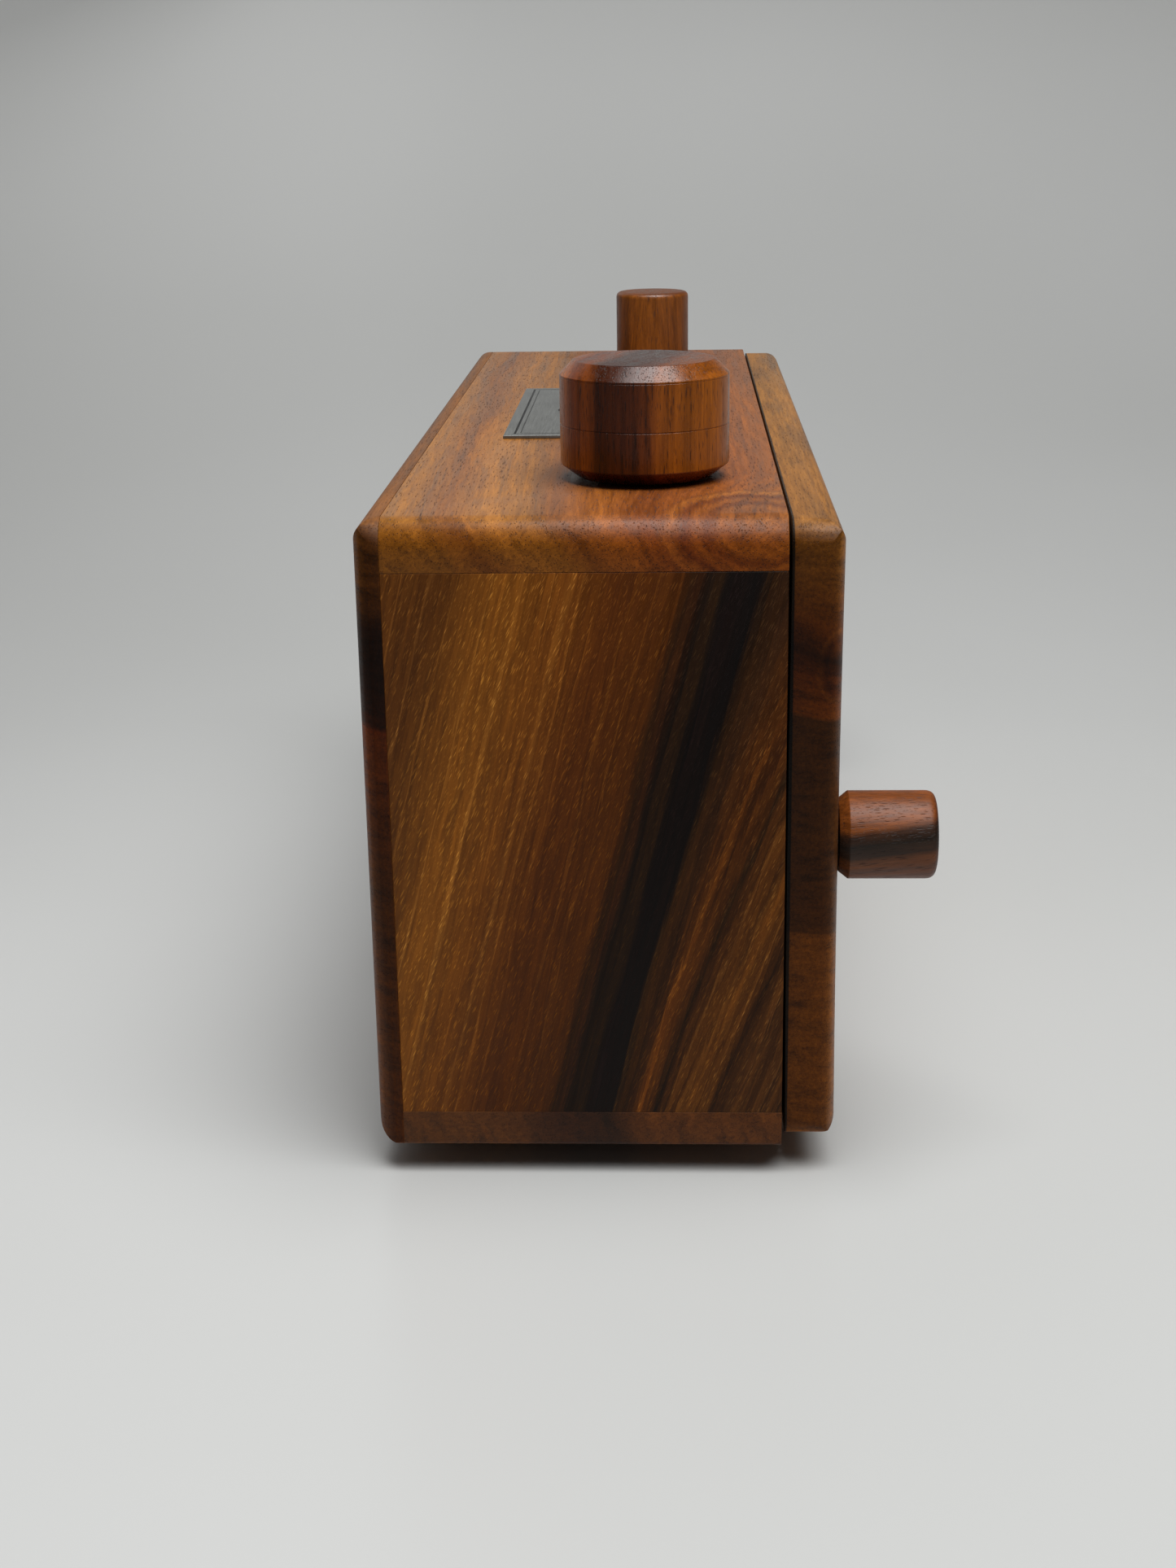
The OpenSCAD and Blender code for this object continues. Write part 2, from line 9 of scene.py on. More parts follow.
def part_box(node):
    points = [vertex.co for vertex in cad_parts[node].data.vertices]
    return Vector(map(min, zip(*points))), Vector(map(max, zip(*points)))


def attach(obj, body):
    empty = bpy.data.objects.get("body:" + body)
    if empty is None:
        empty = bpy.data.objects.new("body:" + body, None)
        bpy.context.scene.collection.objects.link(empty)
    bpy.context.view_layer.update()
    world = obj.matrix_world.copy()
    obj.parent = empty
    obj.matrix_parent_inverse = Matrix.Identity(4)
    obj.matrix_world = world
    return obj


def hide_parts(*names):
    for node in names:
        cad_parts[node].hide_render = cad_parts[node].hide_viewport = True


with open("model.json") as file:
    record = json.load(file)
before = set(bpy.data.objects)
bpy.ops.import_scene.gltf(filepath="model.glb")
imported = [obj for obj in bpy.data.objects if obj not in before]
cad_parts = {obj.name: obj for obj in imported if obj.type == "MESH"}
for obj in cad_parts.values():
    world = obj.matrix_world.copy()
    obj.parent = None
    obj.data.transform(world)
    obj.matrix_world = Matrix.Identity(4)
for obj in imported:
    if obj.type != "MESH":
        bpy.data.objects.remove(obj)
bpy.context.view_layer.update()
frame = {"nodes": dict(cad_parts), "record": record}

bl_info = {
    "name": "Roll film pinhole camera",
    "version": (1, 0, 0),
    "blender": (4, 5, 0),
    "location": "3D View > Sidebar > Pinhole",
    "description": "Dresses a wooden roll film pinhole camera, piece by piece",
    "category": "Object",
}

MM = 0.001

# Settings of the mesh helpers, in metres and degrees.
WELD = 2e-6
NEEDLE = 1e-6
FLAT = 0.4
CORNER = 33.0
TURNED_CORNER = 28.0
THREAD_CORNER = 50.0
ROWS_PER_PITCH = 6
LEAD_IN = 0.6

# Feet and tripod screws, in mm: a foot is a short taper with a dimple in its tip.
FOOT_RADIUS = 5.0
FOOT_TIP = 4.7
FOOT_HEIGHT = 4.0
DIMPLE_RIM = 2.2
DIMPLE_FLOOR = 1.6
DIMPLE_DEPTH = 1.1
FOOT_COLUMNS = (-68, 68)
FOOT_ROWS = (-18, 13.3)
TRIPOD_HEAD = (2.4, 1.3)
TRIPOD_SHANK = {"root": 0.85, "crest": 1.25, "pitch": 0.55, "low": -8.2, "high": 0.05}
TRIPOD_RING = 11
TRIPOD_SEAT = 1.6
TRIPOD_ANGLES = (90, 210, 330)
TRIPOD_SLOT_TURNS = (12, 64, 151)

# Turned knobs and studs, in mm.
SHAFT_BORE = 3
SHAFT_BORE_DEPTH = 10
KNOB_FOOT_IN = 2.2
KNOB_FOOT_UP = 1.65
KNOB_WAIST = 5.1
KNOB_CHAMFER = 1.8
KNOB_LINE_HEIGHTS = (6.7, 12.65)
SUPPLY_KNOB_CROWN = 1.0
STUD_BORE = 2
THUMB_FOOT_IN = 1.0
THUMB_FOOT_UP = 1.25
THUMB_CROWN = 1.3
STUD_THREAD = {"root": 1.66, "crest": 2.0, "pitch": 0.7}

# The back's bow: bands it is cut into, and how far out of the bow its middle is set.
BOW_BANDS = 14
BOW_BALANCE = 0.55

# Stage, in metres and degrees.
FLOOR_REACH = 9.0
SWEEP_START = -0.12
SWEEP_STEPS = 24
WALL_TOP = 2.4
OVERHEAD = {"spot": (0.22, 0.12, 0.66), "target": (0.12, 0.02, 0), "size": (0.5, 0.55)}
OVERHEAD_SPREAD = 130
BEHIND = {"spot": (-0.36, -0.22, 0.34), "target": (0, 0, 0.08), "size": (0.35, 0.3)}
ROOM_TONE = (1.0, 0.99, 0.97, 1)
CAMERA_SPOT = (0.335708, 0.008748, 0.131416)
CAMERA_TURN = (72.293, 0.842, 92.109)
CAMERA_LENS = 49.57
CAMERA_HEIGHT = 36.0
CAMERA_NEAR = 0.01

NODE_BODY = {n: b for b, ns in frame["record"]["behaviour"]["bodies"].items() for n in ns}


# ---------------------------------------------------------------- meshes


def smooth(mesh, angle):
    """Shades a mesh smooth, with sharp edges where it turns by more than angle."""
    mesh.shade_smooth()
    mesh.set_sharp_from_angle(angle=math.radians(angle))
    return mesh


def from_bmesh(bm, name):
    """A mesh made from bm, with its faces pointing outward."""
    bmesh.ops.recalc_face_normals(bm, faces=bm.faces)
    mesh = bpy.data.meshes.new(name)
    bm.to_mesh(mesh)
    bm.free()
    return mesh


def cad_copy(node):
    """The CAD node's shape as a bmesh with flat faces made whole."""
    bm = bmesh.new()
    bm.from_mesh(frame["nodes"][node].data)
    bmesh.ops.remove_doubles(bm, verts=bm.verts, dist=WELD)
    bmesh.ops.dissolve_degenerate(bm, edges=bm.edges, dist=NEEDLE)
    bmesh.ops.dissolve_limit(bm, angle_limit=math.radians(FLAT), verts=bm.verts, edges=bm.edges)
    return bm


def linked(name, data):
    """A new object that holds data, put into the scene."""
    obj = bpy.data.objects.new(name, data)
    bpy.context.scene.collection.objects.link(obj)
    return obj


def baked(obj, *helpers):
    """The mesh that obj's modifiers make; obj and its helpers are then removed."""
    depsgraph = bpy.context.evaluated_depsgraph_get()
    made = bpy.data.meshes.new_from_object(obj.evaluated_get(depsgraph))
    for used in (obj, *helpers):
        bpy.data.objects.remove(used)
    return made


def eased(mesh, width, segments=2):
    """The mesh with its corners rounded over by width, in metres."""
    holder = linked("easing", mesh)
    mesh.shade_smooth()
    bevel = holder.modifiers.new("ease", "BEVEL")
    bevel.width = width
    bevel.segments = segments
    bevel.limit_method = "ANGLE"
    bevel.angle_limit = math.radians(CORNER)
    bevel.harden_normals = True
    return baked(holder)


def rounded(points, radii, steps=5):
    """A profile with each corner replaced by an arc of its radius."""
    out = []
    last = len(points) - 1
    for i, (point, radius) in enumerate(zip(points, radii)):
        if not radius or i in (0, last):
            out.append(point)
            continue
        here, before, after = Vector(point), Vector(points[i - 1]), Vector(points[i + 1])
        a, b = (before - here).normalized(), (after - here).normalized()
        half = a.angle(b) / 2
        reach = min(radius / math.tan(half), (before - here).length * 0.49, (after - here).length * 0.49)
        start, end = here + a * reach, here + b * reach
        for k in range(steps + 1):
            t = k / steps
            out.append(tuple(start * (1 - t) ** 2 + here * (2 * t * (1 - t)) + end * t * t))
    return out


def groove(radius, middle, width, depth):
    """Profile points of a fine turned line, from low to high."""
    return [(radius, middle - width / 2), (radius - depth, middle - width / 4),
            (radius - depth, middle + width / 4), (radius, middle + width / 2)]


def ring_point(radius, height, share):
    """The point at a share of a full turn round Z; radius and height in mm."""
    turn = 2 * math.pi * share
    return (radius * MM * math.cos(turn), radius * MM * math.sin(turn), height * MM)


def stood_up(bm, centre, axis):
    """Moves a solid made round Z to centre, in mm, with its axis along Z or Y."""
    turn = {"Z": Matrix.Identity(4), "Y": Matrix.Rotation(math.radians(-90), 4, "X")}[axis]
    bm.transform(Matrix.Translation(Vector(centre) * MM) @ turn)


def turned(profile, centre, axis="Z", segments=96, *, name):
    """A closed solid turned about an axis through centre; profile is (radius, height) in mm,
    from one point on the axis to another."""
    bm = bmesh.new()
    rings = []
    for radius, height in profile:
        steps = segments if radius else 1
        rings.append([bm.verts.new(ring_point(radius, height, k / segments)) for k in range(steps)])
    for low, high in zip(rings, rings[1:]):
        for k in range(segments):
            n = (k + 1) % segments
            corners = [low[k % len(low)], low[n % len(low)], high[n % len(high)], high[k % len(high)]]
            bm.faces.new(list(dict.fromkeys(corners)))
    stood_up(bm, centre, axis)
    return smooth(from_bmesh(bm, name), TURNED_CORNER)


def threaded(root, crest, pitch, low, high, centre, axis, name, around=32):
    """A closed threaded rod from low to high along axis; root and crest are radii, sizes in mm."""
    bm = bmesh.new()
    rows = int((high - low) / pitch * ROWS_PER_PITCH) + 1
    rings = []
    for j in range(rows + 1):
        height = low + (high - low) * j / rows
        ring = []
        for k in range(around):
            turn = (height / pitch - k / around) % 1.0
            radius = root + (crest - root) * (1 - abs(2 * turn - 1))
            end_gap = min(height - low, high - height)
            radius = min(radius, root + end_gap * LEAD_IN)
            ring.append(bm.verts.new(ring_point(radius, height, k / around)))
        rings.append(ring)
    for a, b in zip(rings, rings[1:]):
        for k in range(around):
            n = (k + 1) % around
            bm.faces.new((a[k], a[n], b[n], b[k]))
    bm.faces.new(rings[0])
    bm.faces.new(rings[-1])
    stood_up(bm, centre, axis)
    return smooth(from_bmesh(bm, name), THREAD_CORNER)


def joined(name, *meshes):
    """Several closed meshes as one."""
    bm = bmesh.new()
    for mesh in meshes:
        bm.from_mesh(mesh)
    out = bpy.data.meshes.new(name)
    bm.to_mesh(out)
    bm.free()
    return out


def screw_head(radius, height, slot_width, slot_depth):
    """A round slotted head, standing on the origin along +Z, sizes in mm."""
    side, flat = height * 0.55, radius * 0.8
    outline = [(0, 0), (radius, 0), (radius, side), (flat, height), (0, height)]
    profile = rounded(outline, [0, 0.05, 0.3, 0.4, 0])
    cutter = bmesh.new()
    bmesh.ops.create_cube(cutter, size=1.0)
    cutter.transform(Matrix.Translation((0, 0, height * MM))
                     @ Matrix.Diagonal((radius * 3 * MM, slot_width * MM, slot_depth * 2 * MM, 1)))
    blade = linked("blade", from_bmesh(cutter, "blade"))
    head = linked("head", turned(profile, (0, 0, 0), segments=40, name="screw"))
    cut = head.modifiers.new("slot", "BOOLEAN")
    cut.object = blade
    cut.operation = "DIFFERENCE"
    cut.solver = "EXACT"
    return smooth(baked(head, blade), TURNED_CORNER)


def repeated(name, source, places, turn_to, material, spins=None):
    """One mesh with a copy of source at each place in mm, made by Geometry Nodes."""
    tree = bpy.data.node_groups.new(name + "_set", "GeometryNodeTree")
    tree.interface.new_socket("Geometry", in_out="INPUT", socket_type="NodeSocketGeometry")
    tree.interface.new_socket("Geometry", in_out="OUTPUT", socket_type="NodeSocketGeometry")
    piece = tree.interface.new_socket("Piece", in_out="INPUT", socket_type="NodeSocketObject")
    add = tree.nodes.new
    start, end = add("NodeGroupInput"), add("NodeGroupOutput")
    points, copies = add("GeometryNodeMeshToPoints"), add("GeometryNodeInstanceOnPoints")
    info, whole = add("GeometryNodeObjectInfo"), add("GeometryNodeRealizeInstances")
    paint = add("GeometryNodeSetMaterial")
    spin = add("GeometryNodeInputNamedAttribute")
    spin.data_type = "FLOAT_VECTOR"
    spin.inputs["Name"].default_value = "spin"
    link = tree.links.new
    link(start.outputs[0], points.inputs[0])
    link(points.outputs[0], copies.inputs["Points"])
    link(start.outputs["Piece"], info.inputs["Object"])
    link(info.outputs["Geometry"], copies.inputs["Instance"])
    link(spin.outputs[0], copies.inputs["Rotation"])
    link(copies.outputs[0], whole.inputs[0])
    link(whole.outputs[0], paint.inputs[0])
    paint.inputs["Material"].default_value = material
    link(paint.outputs[0], end.inputs[0])
    base = bpy.data.meshes.new(name)
    base.from_pydata([Vector(p) * MM for p in places], [], [])
    turns = base.attributes.new("spin", "FLOAT_VECTOR", "POINT")
    for turn, degrees in zip(turns.data, spins or [0] * len(places)):
        own = Matrix.Rotation(math.radians(degrees), 3, "Z")
        turn.vector = Vector((turn_to @ own).to_euler())
    tool, holder = linked(name + "_one", source), linked(name + "_points", base)
    group = holder.modifiers.new("set", "NODES")
    group.node_group = tree
    group[piece.identifier] = tool
    holder.update_tag()
    return smooth(baked(holder, tool), TURNED_CORNER)


def place(node, mesh, material):
    """Makes the finished piece that stands for one CAD node."""
    mesh.materials.clear()
    mesh.materials.append(material)
    facing = mesh.attributes.new("facing", "FLOAT_VECTOR", "CORNER")
    facing.data.foreach_set("vector", [v for corner in mesh.corner_normals for v in corner.vector])
    obj = linked(node + "_finished", mesh)
    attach(obj, NODE_BODY[node])
    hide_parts(node)


def kept_in(mesh, node):
    """Holds the mesh inside the CAD node's own box, where a rounded corner strays past it."""
    low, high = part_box(node)
    for vert in mesh.vertices:
        vert.co = [min(max(v, a), b) for v, a, b in zip(vert.co, low, high)]
    return mesh


def plain(node, look, edge, segments=2):
    """A finished piece with the CAD node's own shape and softened corners; edge in mm."""
    mesh = eased(from_bmesh(cad_copy(node), node), edge * MM, segments)
    place(node, kept_in(mesh, node), finish(look))


def box_mm(node):
    """The low and high corners of the CAD node's box, in mm."""
    return [Vector([round(v / MM, 3) for v in corner]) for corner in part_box(node)]


def round_box(node):
    """Centre in x and y, radius, foot and top of a CAD node turned about Z, in mm."""
    low, high = box_mm(node)
    middle = (low + high) / 2
    return middle.x, middle.y, (high.x - low.x) / 2, low.z, high.z


# ---------------------------------------------------------------- finishes


class Finish:
    """One material's nodes, with short ways to add and join them."""

    def __init__(self, name):
        self.material = bpy.data.materials.new(name)
        self.material.use_nodes = True
        self.tree = self.material.node_tree
        self.tree.nodes.clear()
        coords = self.tree.nodes.new("ShaderNodeTexCoord").outputs
        self.mm = self.vector("SCALE", coords["Object"], scale=1000.0)

    def attribute(self, name):
        node = self.tree.nodes.new("ShaderNodeAttribute")
        node.attribute_name = name
        return node.outputs["Vector"]

    def put(self, socket, value):
        if isinstance(value, bpy.types.NodeSocket):
            self.tree.links.new(value, socket)
        else:
            socket.default_value = value

    def vector(self, operation, a, b=None, scale=None):
        node = self.tree.nodes.new("ShaderNodeVectorMath")
        node.operation = operation
        self.put(node.inputs[0], a)
        if b is not None:
            self.put(node.inputs[1], b)
        if scale is not None:
            self.put(node.inputs["Scale"], scale)
        return node.outputs["Value" if operation in ("DOT_PRODUCT", "LENGTH", "DISTANCE") else "Vector"]

    def math(self, operation, a, b=0.0, c=0.0):
        node = self.tree.nodes.new("ShaderNodeMath")
        node.operation = operation
        for socket, value in zip(node.inputs, (a, b, c)):
            self.put(socket, value)
        return node.outputs[0]

    def fit(self, value, low, high, to_low=0.0, to_high=1.0):
        """value eased from low..high to to_low..to_high, and held at the ends."""
        node = self.tree.nodes.new("ShaderNodeMapRange")
        node.interpolation_type = "SMOOTHSTEP"
        for socket, v in zip(node.inputs, (value, low, high, to_low, to_high)):
            self.put(socket, v)
        return node.outputs[0]

    def mix(self, amount, a, b, blend="MIX"):
        node = self.tree.nodes.new("ShaderNodeMix")
        node.data_type = "RGBA"
        node.blend_type = blend
        self.put(node.inputs[0], amount)
        self.put(node.inputs[6], a)
        self.put(node.inputs[7], b)
        return node.outputs[2]

    def stained(self, amount, base, stain):
        """base with stain multiplied into it by amount."""
        return self.mix(amount, base, self.mix(1.0, base, stain, "MULTIPLY"))

    def drift(self, value, reach):
        """A noise of 0 to 1 as a shift of -reach to reach."""
        return self.math("MULTIPLY_ADD", value, 2 * reach, -reach)

    def stretched(self, place, rates):
        return self.vector("MULTIPLY", place, rates)

    def noise(self, place, scale=1.0, rough=0.55, distort=0.0, *, detail):
        node = self.tree.nodes.new("ShaderNodeTexNoise")
        for key, value in (("Vector", place), ("Scale", scale), ("Detail", detail),
                           ("Roughness", rough), ("Distortion", distort)):
            self.put(node.inputs[key], value)
        return node.outputs[0]

    def cells(self, place, scale=1.0):
        node = self.tree.nodes.new("ShaderNodeTexVoronoi")
        self.put(node.inputs["Vector"], place)
        self.put(node.inputs["Scale"], scale)
        return node.outputs["Distance"]

    def ramp(self, value, stops):
        """Colours along a value: stops is a list of (position, colour)."""
        node = self.tree.nodes.new("ShaderNodeValToRGB")
        band = node.color_ramp
        while len(band.elements) < len(stops):
            band.elements.new(0.5)
        for element, (spot, colour) in zip(band.elements, stops):
            element.position = spot
            element.color = colour
        self.put(node.inputs[0], value)
        return node.outputs[0]

    def xyz(self, place):
        node = self.tree.nodes.new("ShaderNodeSeparateXYZ")
        self.put(node.inputs[0], place)
        return node.outputs[:3]

    def combine(self, x, y, z):
        node = self.tree.nodes.new("ShaderNodeCombineXYZ")
        for socket, value in zip(node.inputs, (x, y, z)):
            self.put(socket, value)
        return node.outputs[0]

    def surface(self, height, relief, strength, **values):
        """The Principled surface; relief is the bump's depth in mm."""
        shader = self.tree.nodes.new("ShaderNodeBsdfPrincipled")
        for key, value in values.items():
            self.put(shader.inputs[key.replace("_", " ").title().replace("Ior", "IOR")], value)
        bump = self.tree.nodes.new("ShaderNodeBump")
        self.put(bump.inputs["Strength"], strength)
        self.put(bump.inputs["Distance"], relief * MM)
        self.put(bump.inputs["Height"], height)
        self.tree.links.new(bump.outputs[0], shader.inputs["Normal"])
        out = self.tree.nodes.new("ShaderNodeOutputMaterial")
        self.tree.links.new(shader.outputs[0], out.inputs["Surface"])
        return self.material


SOFT_LIGHT = 2.0


def tone(r, g, b):
    """A display colour, 0 to 255, as the linear colour of the surface under soft light."""
    lin = [v / 255 / 12.92 if v <= 10 else ((v / 255 + 0.055) / 1.055) ** 2.4 for v in (r, g, b)]
    return (*[v * SOFT_LIGHT for v in lin], 1.0)


# How often the figure of wood changes per mm: across the grain, through the board, along the grain.
BROAD_DRIFT = (0.045, 0.045, 0.014)
SMALL_DRIFT = (0.35, 0.35, 0.035)
HAIR_DRIFT = (2.2, 2.2, 0.07)
FIBRE = (2.4, 2.4, 0.11)
SHARP_STREAK = (0.85, 0.12, 0.011)
STREAK_DEPTH = 0.25
STREAK_ALONG = 0.02

# Stains that a mark multiplies into the wood under it.
PALE_RING = (1.9, 2.2, 3.2, 1)
KNOT_RIM = (1.25, 1.42, 1.9, 1)
KNOT_RING = (0.52, 0.42, 0.36, 1)
DARK_PORE = (0.25, 0.2, 0.18, 1)
BLACKENED = (0.07, 0.1, 0.2, 1)
FIBRE_STAINS = [(0.33, (0.68, 0.64, 0.6, 1)), (0.67, (1.32, 1.34, 1.36, 1))]
SHARP_STAINS = [(0.38, (0.2, 0.16, 0.14, 1)), (0.45, (0.62, 0.58, 0.55, 1)), (0.52, (1.05, 1.05, 1.05, 1)),
                (0.64, (1.45, 1.4, 1.35, 1))]

RING_WANDER = 0.21
RING_WIDTH = 0.2
FINE_PORES = 1.9
FINE_PORE_SHIFT = (7.3, 2.9, 4.1)


def knot_distance(f, centre, stretch):
    """How far a point is from a knot's centre, in mm, where the knot is drawn out by stretch."""
    return f.vector("LENGTH", f.vector("DIVIDE", f.vector("SUBTRACT", f.mm, centre), stretch))


def bent_across(f, over, along, raw, small, warp, fan, knots):
    """The distance across the grain, bent as the grain wanders, fans out and runs round knots."""
    broad = f.noise(f.stretched(raw, BROAD_DRIFT), detail=2.0)
    hair = f.noise(f.stretched(raw, HAIR_DRIFT), detail=3.0)
    wander = f.math("ADD", over, f.math("ADD", f.drift(broad, 2.0 * warp), f.drift(small, warp)))
    wander = f.math("ADD", wander, f.drift(hair, 0.8 * warp))
    if fan:
        start, full, slope, middle = fan
        lean = f.math("MULTIPLY_ADD", along, -slope, slope * middle)
        wander = f.math("ADD", wander, f.math("MULTIPLY", f.fit(over, start, full), lean))
    for centre, radius, _, strength, stretch in knots:
        pull = f.fit(knot_distance(f, centre, stretch), 0.0, radius * 1.8, strength * radius * 0.5, 0.0)
        wander = f.math("ADD", wander, pull)
    return wander


def with_growth_lines(f, base, wander, small, strength, gap):
    """base with pale growth lines at uneven distances, broken up by the small noise."""
    uneven = f.noise(f.combine(wander, 0.0, 0.0), scale=RING_WANDER, detail=1.0)
    year = f.math("PINGPONG", f.math("ADD", wander, f.math("MULTIPLY", uneven, gap * 5.0)), gap)
    broken = f.fit(small, 0.35, 0.6, 0.5, 1.0)
    pale = f.math("MULTIPLY", f.fit(year, 0.0, RING_WIDTH, strength, 0.0), broken)
    return f.stained(pale, base, PALE_RING)


def with_knot(f, base, small, centre, radius, ring, strength, stretch):
    """base with a knot's round figure: a pale rim and dark rings that fade to the middle."""
    away = f.math("ADD", knot_distance(f, centre, stretch), f.drift(small, ring * 1.2))
    inside = f.fit(away, radius, radius * 0.93)
    rim = f.math("MULTIPLY", inside, f.fit(away, radius * 0.68, radius * 0.84))
    base = f.stained(f.math("MULTIPLY", rim, strength), base, KNOT_RIM)
    dark = f.math("MULTIPLY", f.fit(f.math("PINGPONG", away, ring), 0.0, ring, 1.0, 0.0), inside)
    dark = f.math("MULTIPLY", dark, f.fit(away, radius * 0.2, radius * 0.7, 0.35, 1.0))
    return f.stained(f.math("MULTIPLY", dark, strength), base, KNOT_RING)


def pore_marks(f, over, side, along, lines, size, length, lean):
    """Open pores, which are short dashes on a long face and dots on an end."""
    skew = f.math("ADD", over, f.math("MULTIPLY", along, -lean))
    spread = f.stretched(f.combine(skew, side, along), (1 / size, 1 / size, 1 / length))
    density = f.fit(lines, 0.35, 0.65, 0.7, 1.2)
    large = f.fit(f.math("MULTIPLY", f.cells(spread), density), 0.12, 0.3, 1.0, 0.0)
    fine = f.cells(f.vector("ADD", f.vector("SCALE", spread, scale=FINE_PORES), FINE_PORE_SHIFT))
    return f.math("MAXIMUM", large, f.fit(fine, 0.1, 0.28, 0.7, 0.0))


def wood(name, grain, across, stops, warp, streak, gap, pores, pore_tone=DARK_PORE, pore_size=0.3,
         pore_length=3.0, pore_lean=0.0, knots=(), rings=0.0, ring_gap=1.9, fan=None, calm=None,
         painted=None, crisp=None, rough=0.5, spec=0.22, end_grain=0.6, end_sheen=1.0):
    """Oiled walnut. grain and across are directions; stops are (mm across the grain, colour).
    warp is how far the grain wanders, in mm; streak and gap are the strength of the streaks and mm from
    one to the next; knots are (centre in mm, radius, ring gap, strength, stretch);
    rings is the strength of the pale growth lines; fan is (from, to, slope, middle): how the lines spread
    on one side of the board; calm is (from, to, streaks left there); painted is the y in mm below which
    the wood is blackened; crisp is (from, to, strength) of a part with sharp dark streaks;
    end_grain is how dark the cut ends are beside the long faces, end_sheen how much sheen they keep."""
    f = Finish(name)
    g, a = Vector(grain).normalized(), Vector(across)
    a = (a - g * a.dot(g)).normalized()
    over, side, along = (f.vector("DOT_PRODUCT", f.mm, tuple(v)) for v in (a, g.cross(a), g))
    raw = f.combine(over, side, along)
    small = f.noise(f.stretched(raw, SMALL_DRIFT), detail=4.0, rough=0.6)
    wander = bent_across(f, over, along, raw, small, warp, fan, knots)
    low, high = stops[0][0], stops[-1][0]
    base = f.ramp(f.math("DIVIDE", f.math("SUBTRACT", wander, low), high - low),
                  [((mm - low) / (high - low), colour) for mm, colour in stops])
    # Streaks and fibres follow the bent grain.
    drawn = f.combine(wander, side, along)
    rates = (1 / gap, STREAK_DEPTH / gap, STREAK_ALONG)
    lines = f.noise(f.stretched(drawn, rates), detail=6.0, rough=0.66)
    shades = ((0.3, 1 - streak), (0.5, 1), (0.72, 1 + streak * 0.8))
    shades = [(spot, (share, share, share, 1)) for spot, share in shades]
    base = f.mix(f.fit(over, *calm, 1.0) if calm else 1.0, base, f.ramp(lines, shades), "MULTIPLY")
    if crisp:
        sharp = f.noise(f.stretched(drawn, SHARP_STREAK), detail=5.0, rough=0.62)
        part = f.math("MULTIPLY", f.fit(wander, crisp[0], crisp[1]), crisp[2])
        base = f.mix(part, base, f.ramp(sharp, SHARP_STAINS), "MULTIPLY")
    if rings:
        base = with_growth_lines(f, base, wander, small, rings, ring_gap)
    fibre = f.noise(f.stretched(drawn, FIBRE), detail=5.0, rough=0.7)
    base = f.mix(1.0, base, f.ramp(fibre, FIBRE_STAINS), "MULTIPLY")
    for knot in knots:
        base = with_knot(f, base, small, *knot)
    holes = pore_marks(f, over, side, along, lines, pore_size, pore_length, pore_lean)
    # Pores take pore_tone: dark on most pieces; pale on the winding end, where they are painted glints.
    base = f.stained(f.math("MULTIPLY", holes, pores), base, pore_tone)
    # The piece's own attribute of corner normals tells a cut end from a long face.
    facing = f.math("ABSOLUTE", f.vector("DOT_PRODUCT", f.attribute("facing"), tuple(g)))
    base = f.stained(f.fit(facing, 0.45, 0.95), base, (end_grain, end_grain * 0.86, end_grain * 0.6, 1))
    sheen = f.fit(facing, 0.2, 0.8, spec, spec * end_sheen)
    if painted is not None:
        base = f.stained(f.fit(f.xyz(f.mm)[1], painted, painted + 0.15, 1.0, 0.0), base, BLACKENED)
    relief = f.math("SUBTRACT", f.math("MULTIPLY", fibre, 0.5), holes)
    roughness = f.fit(lines, 0.3, 0.7, rough - 0.06, rough + 0.06)
    roughness = f.math("ADD", roughness, f.math("MULTIPLY", holes, 0.2))
    return f.surface(height=relief, relief=0.05, strength=0.45, base_color=base, roughness=roughness,
                     specular_ior_level=sheen)


def dimmed(colour, share):
    """The colour with its brightness cut to a share."""
    return tuple(v * share for v in colour[:3]) + (1,)


def metal(name, colour, rough, dark=0.35):
    """Satin or plated metal, finely brushed and slightly dulled; dark is how dull the dull parts are."""
    f = Finish(name)
    brushed = f.noise(f.mm, scale=2.2, detail=4.0)
    dull = f.noise(f.mm, scale=0.22, detail=5.0)
    specks = f.fit(f.cells(f.mm, 1.3), 0.05, 0.16, 1.0, 0.0)
    tint = f.mix(f.fit(dull, 0.4, 0.75, 0.0, dark), colour, dimmed(colour, 0.45))
    tint = f.mix(f.math("MULTIPLY", specks, 0.3), tint, (0.03, 0.025, 0.02, 1))
    roughness = f.fit(brushed, 0.3, 0.7, rough - 0.08, rough + 0.1)
    roughness = f.math("ADD", roughness, f.fit(dull, 0.4, 0.8, 0.0, 0.12))
    return f.surface(height=brushed, relief=0.012, strength=0.25, base_color=tint, metallic=1.0,
                     roughness=roughness)


def matt(name, colour, rough, grain, relief, mottle=0.25, dust=0.12, coat=0.0):
    """Moulded surfaces with a fine grain, faint mottling and dust; relief is in mm."""
    f = Finish(name)
    tooth = f.noise(f.mm, scale=grain, detail=3.0)
    cloud = f.noise(f.mm, scale=0.18, detail=4.0)
    tint = f.mix(f.fit(cloud, 0.35, 0.7, 0.0, mottle), colour, dimmed(colour, 0.6))
    grey = f.fit(f.noise(f.mm, scale=1.1, detail=6.0, rough=0.7), 0.56, 0.75, 0.0, dust)
    tint = f.mix(grey, tint, (0.35, 0.33, 0.3, 1))
    roughness = f.fit(tooth, 0.3, 0.7, rough - 0.06, rough + 0.08)
    return f.surface(height=tooth, relief=relief, strength=0.5, base_color=tint, roughness=roughness,
                     coat_weight=coat)


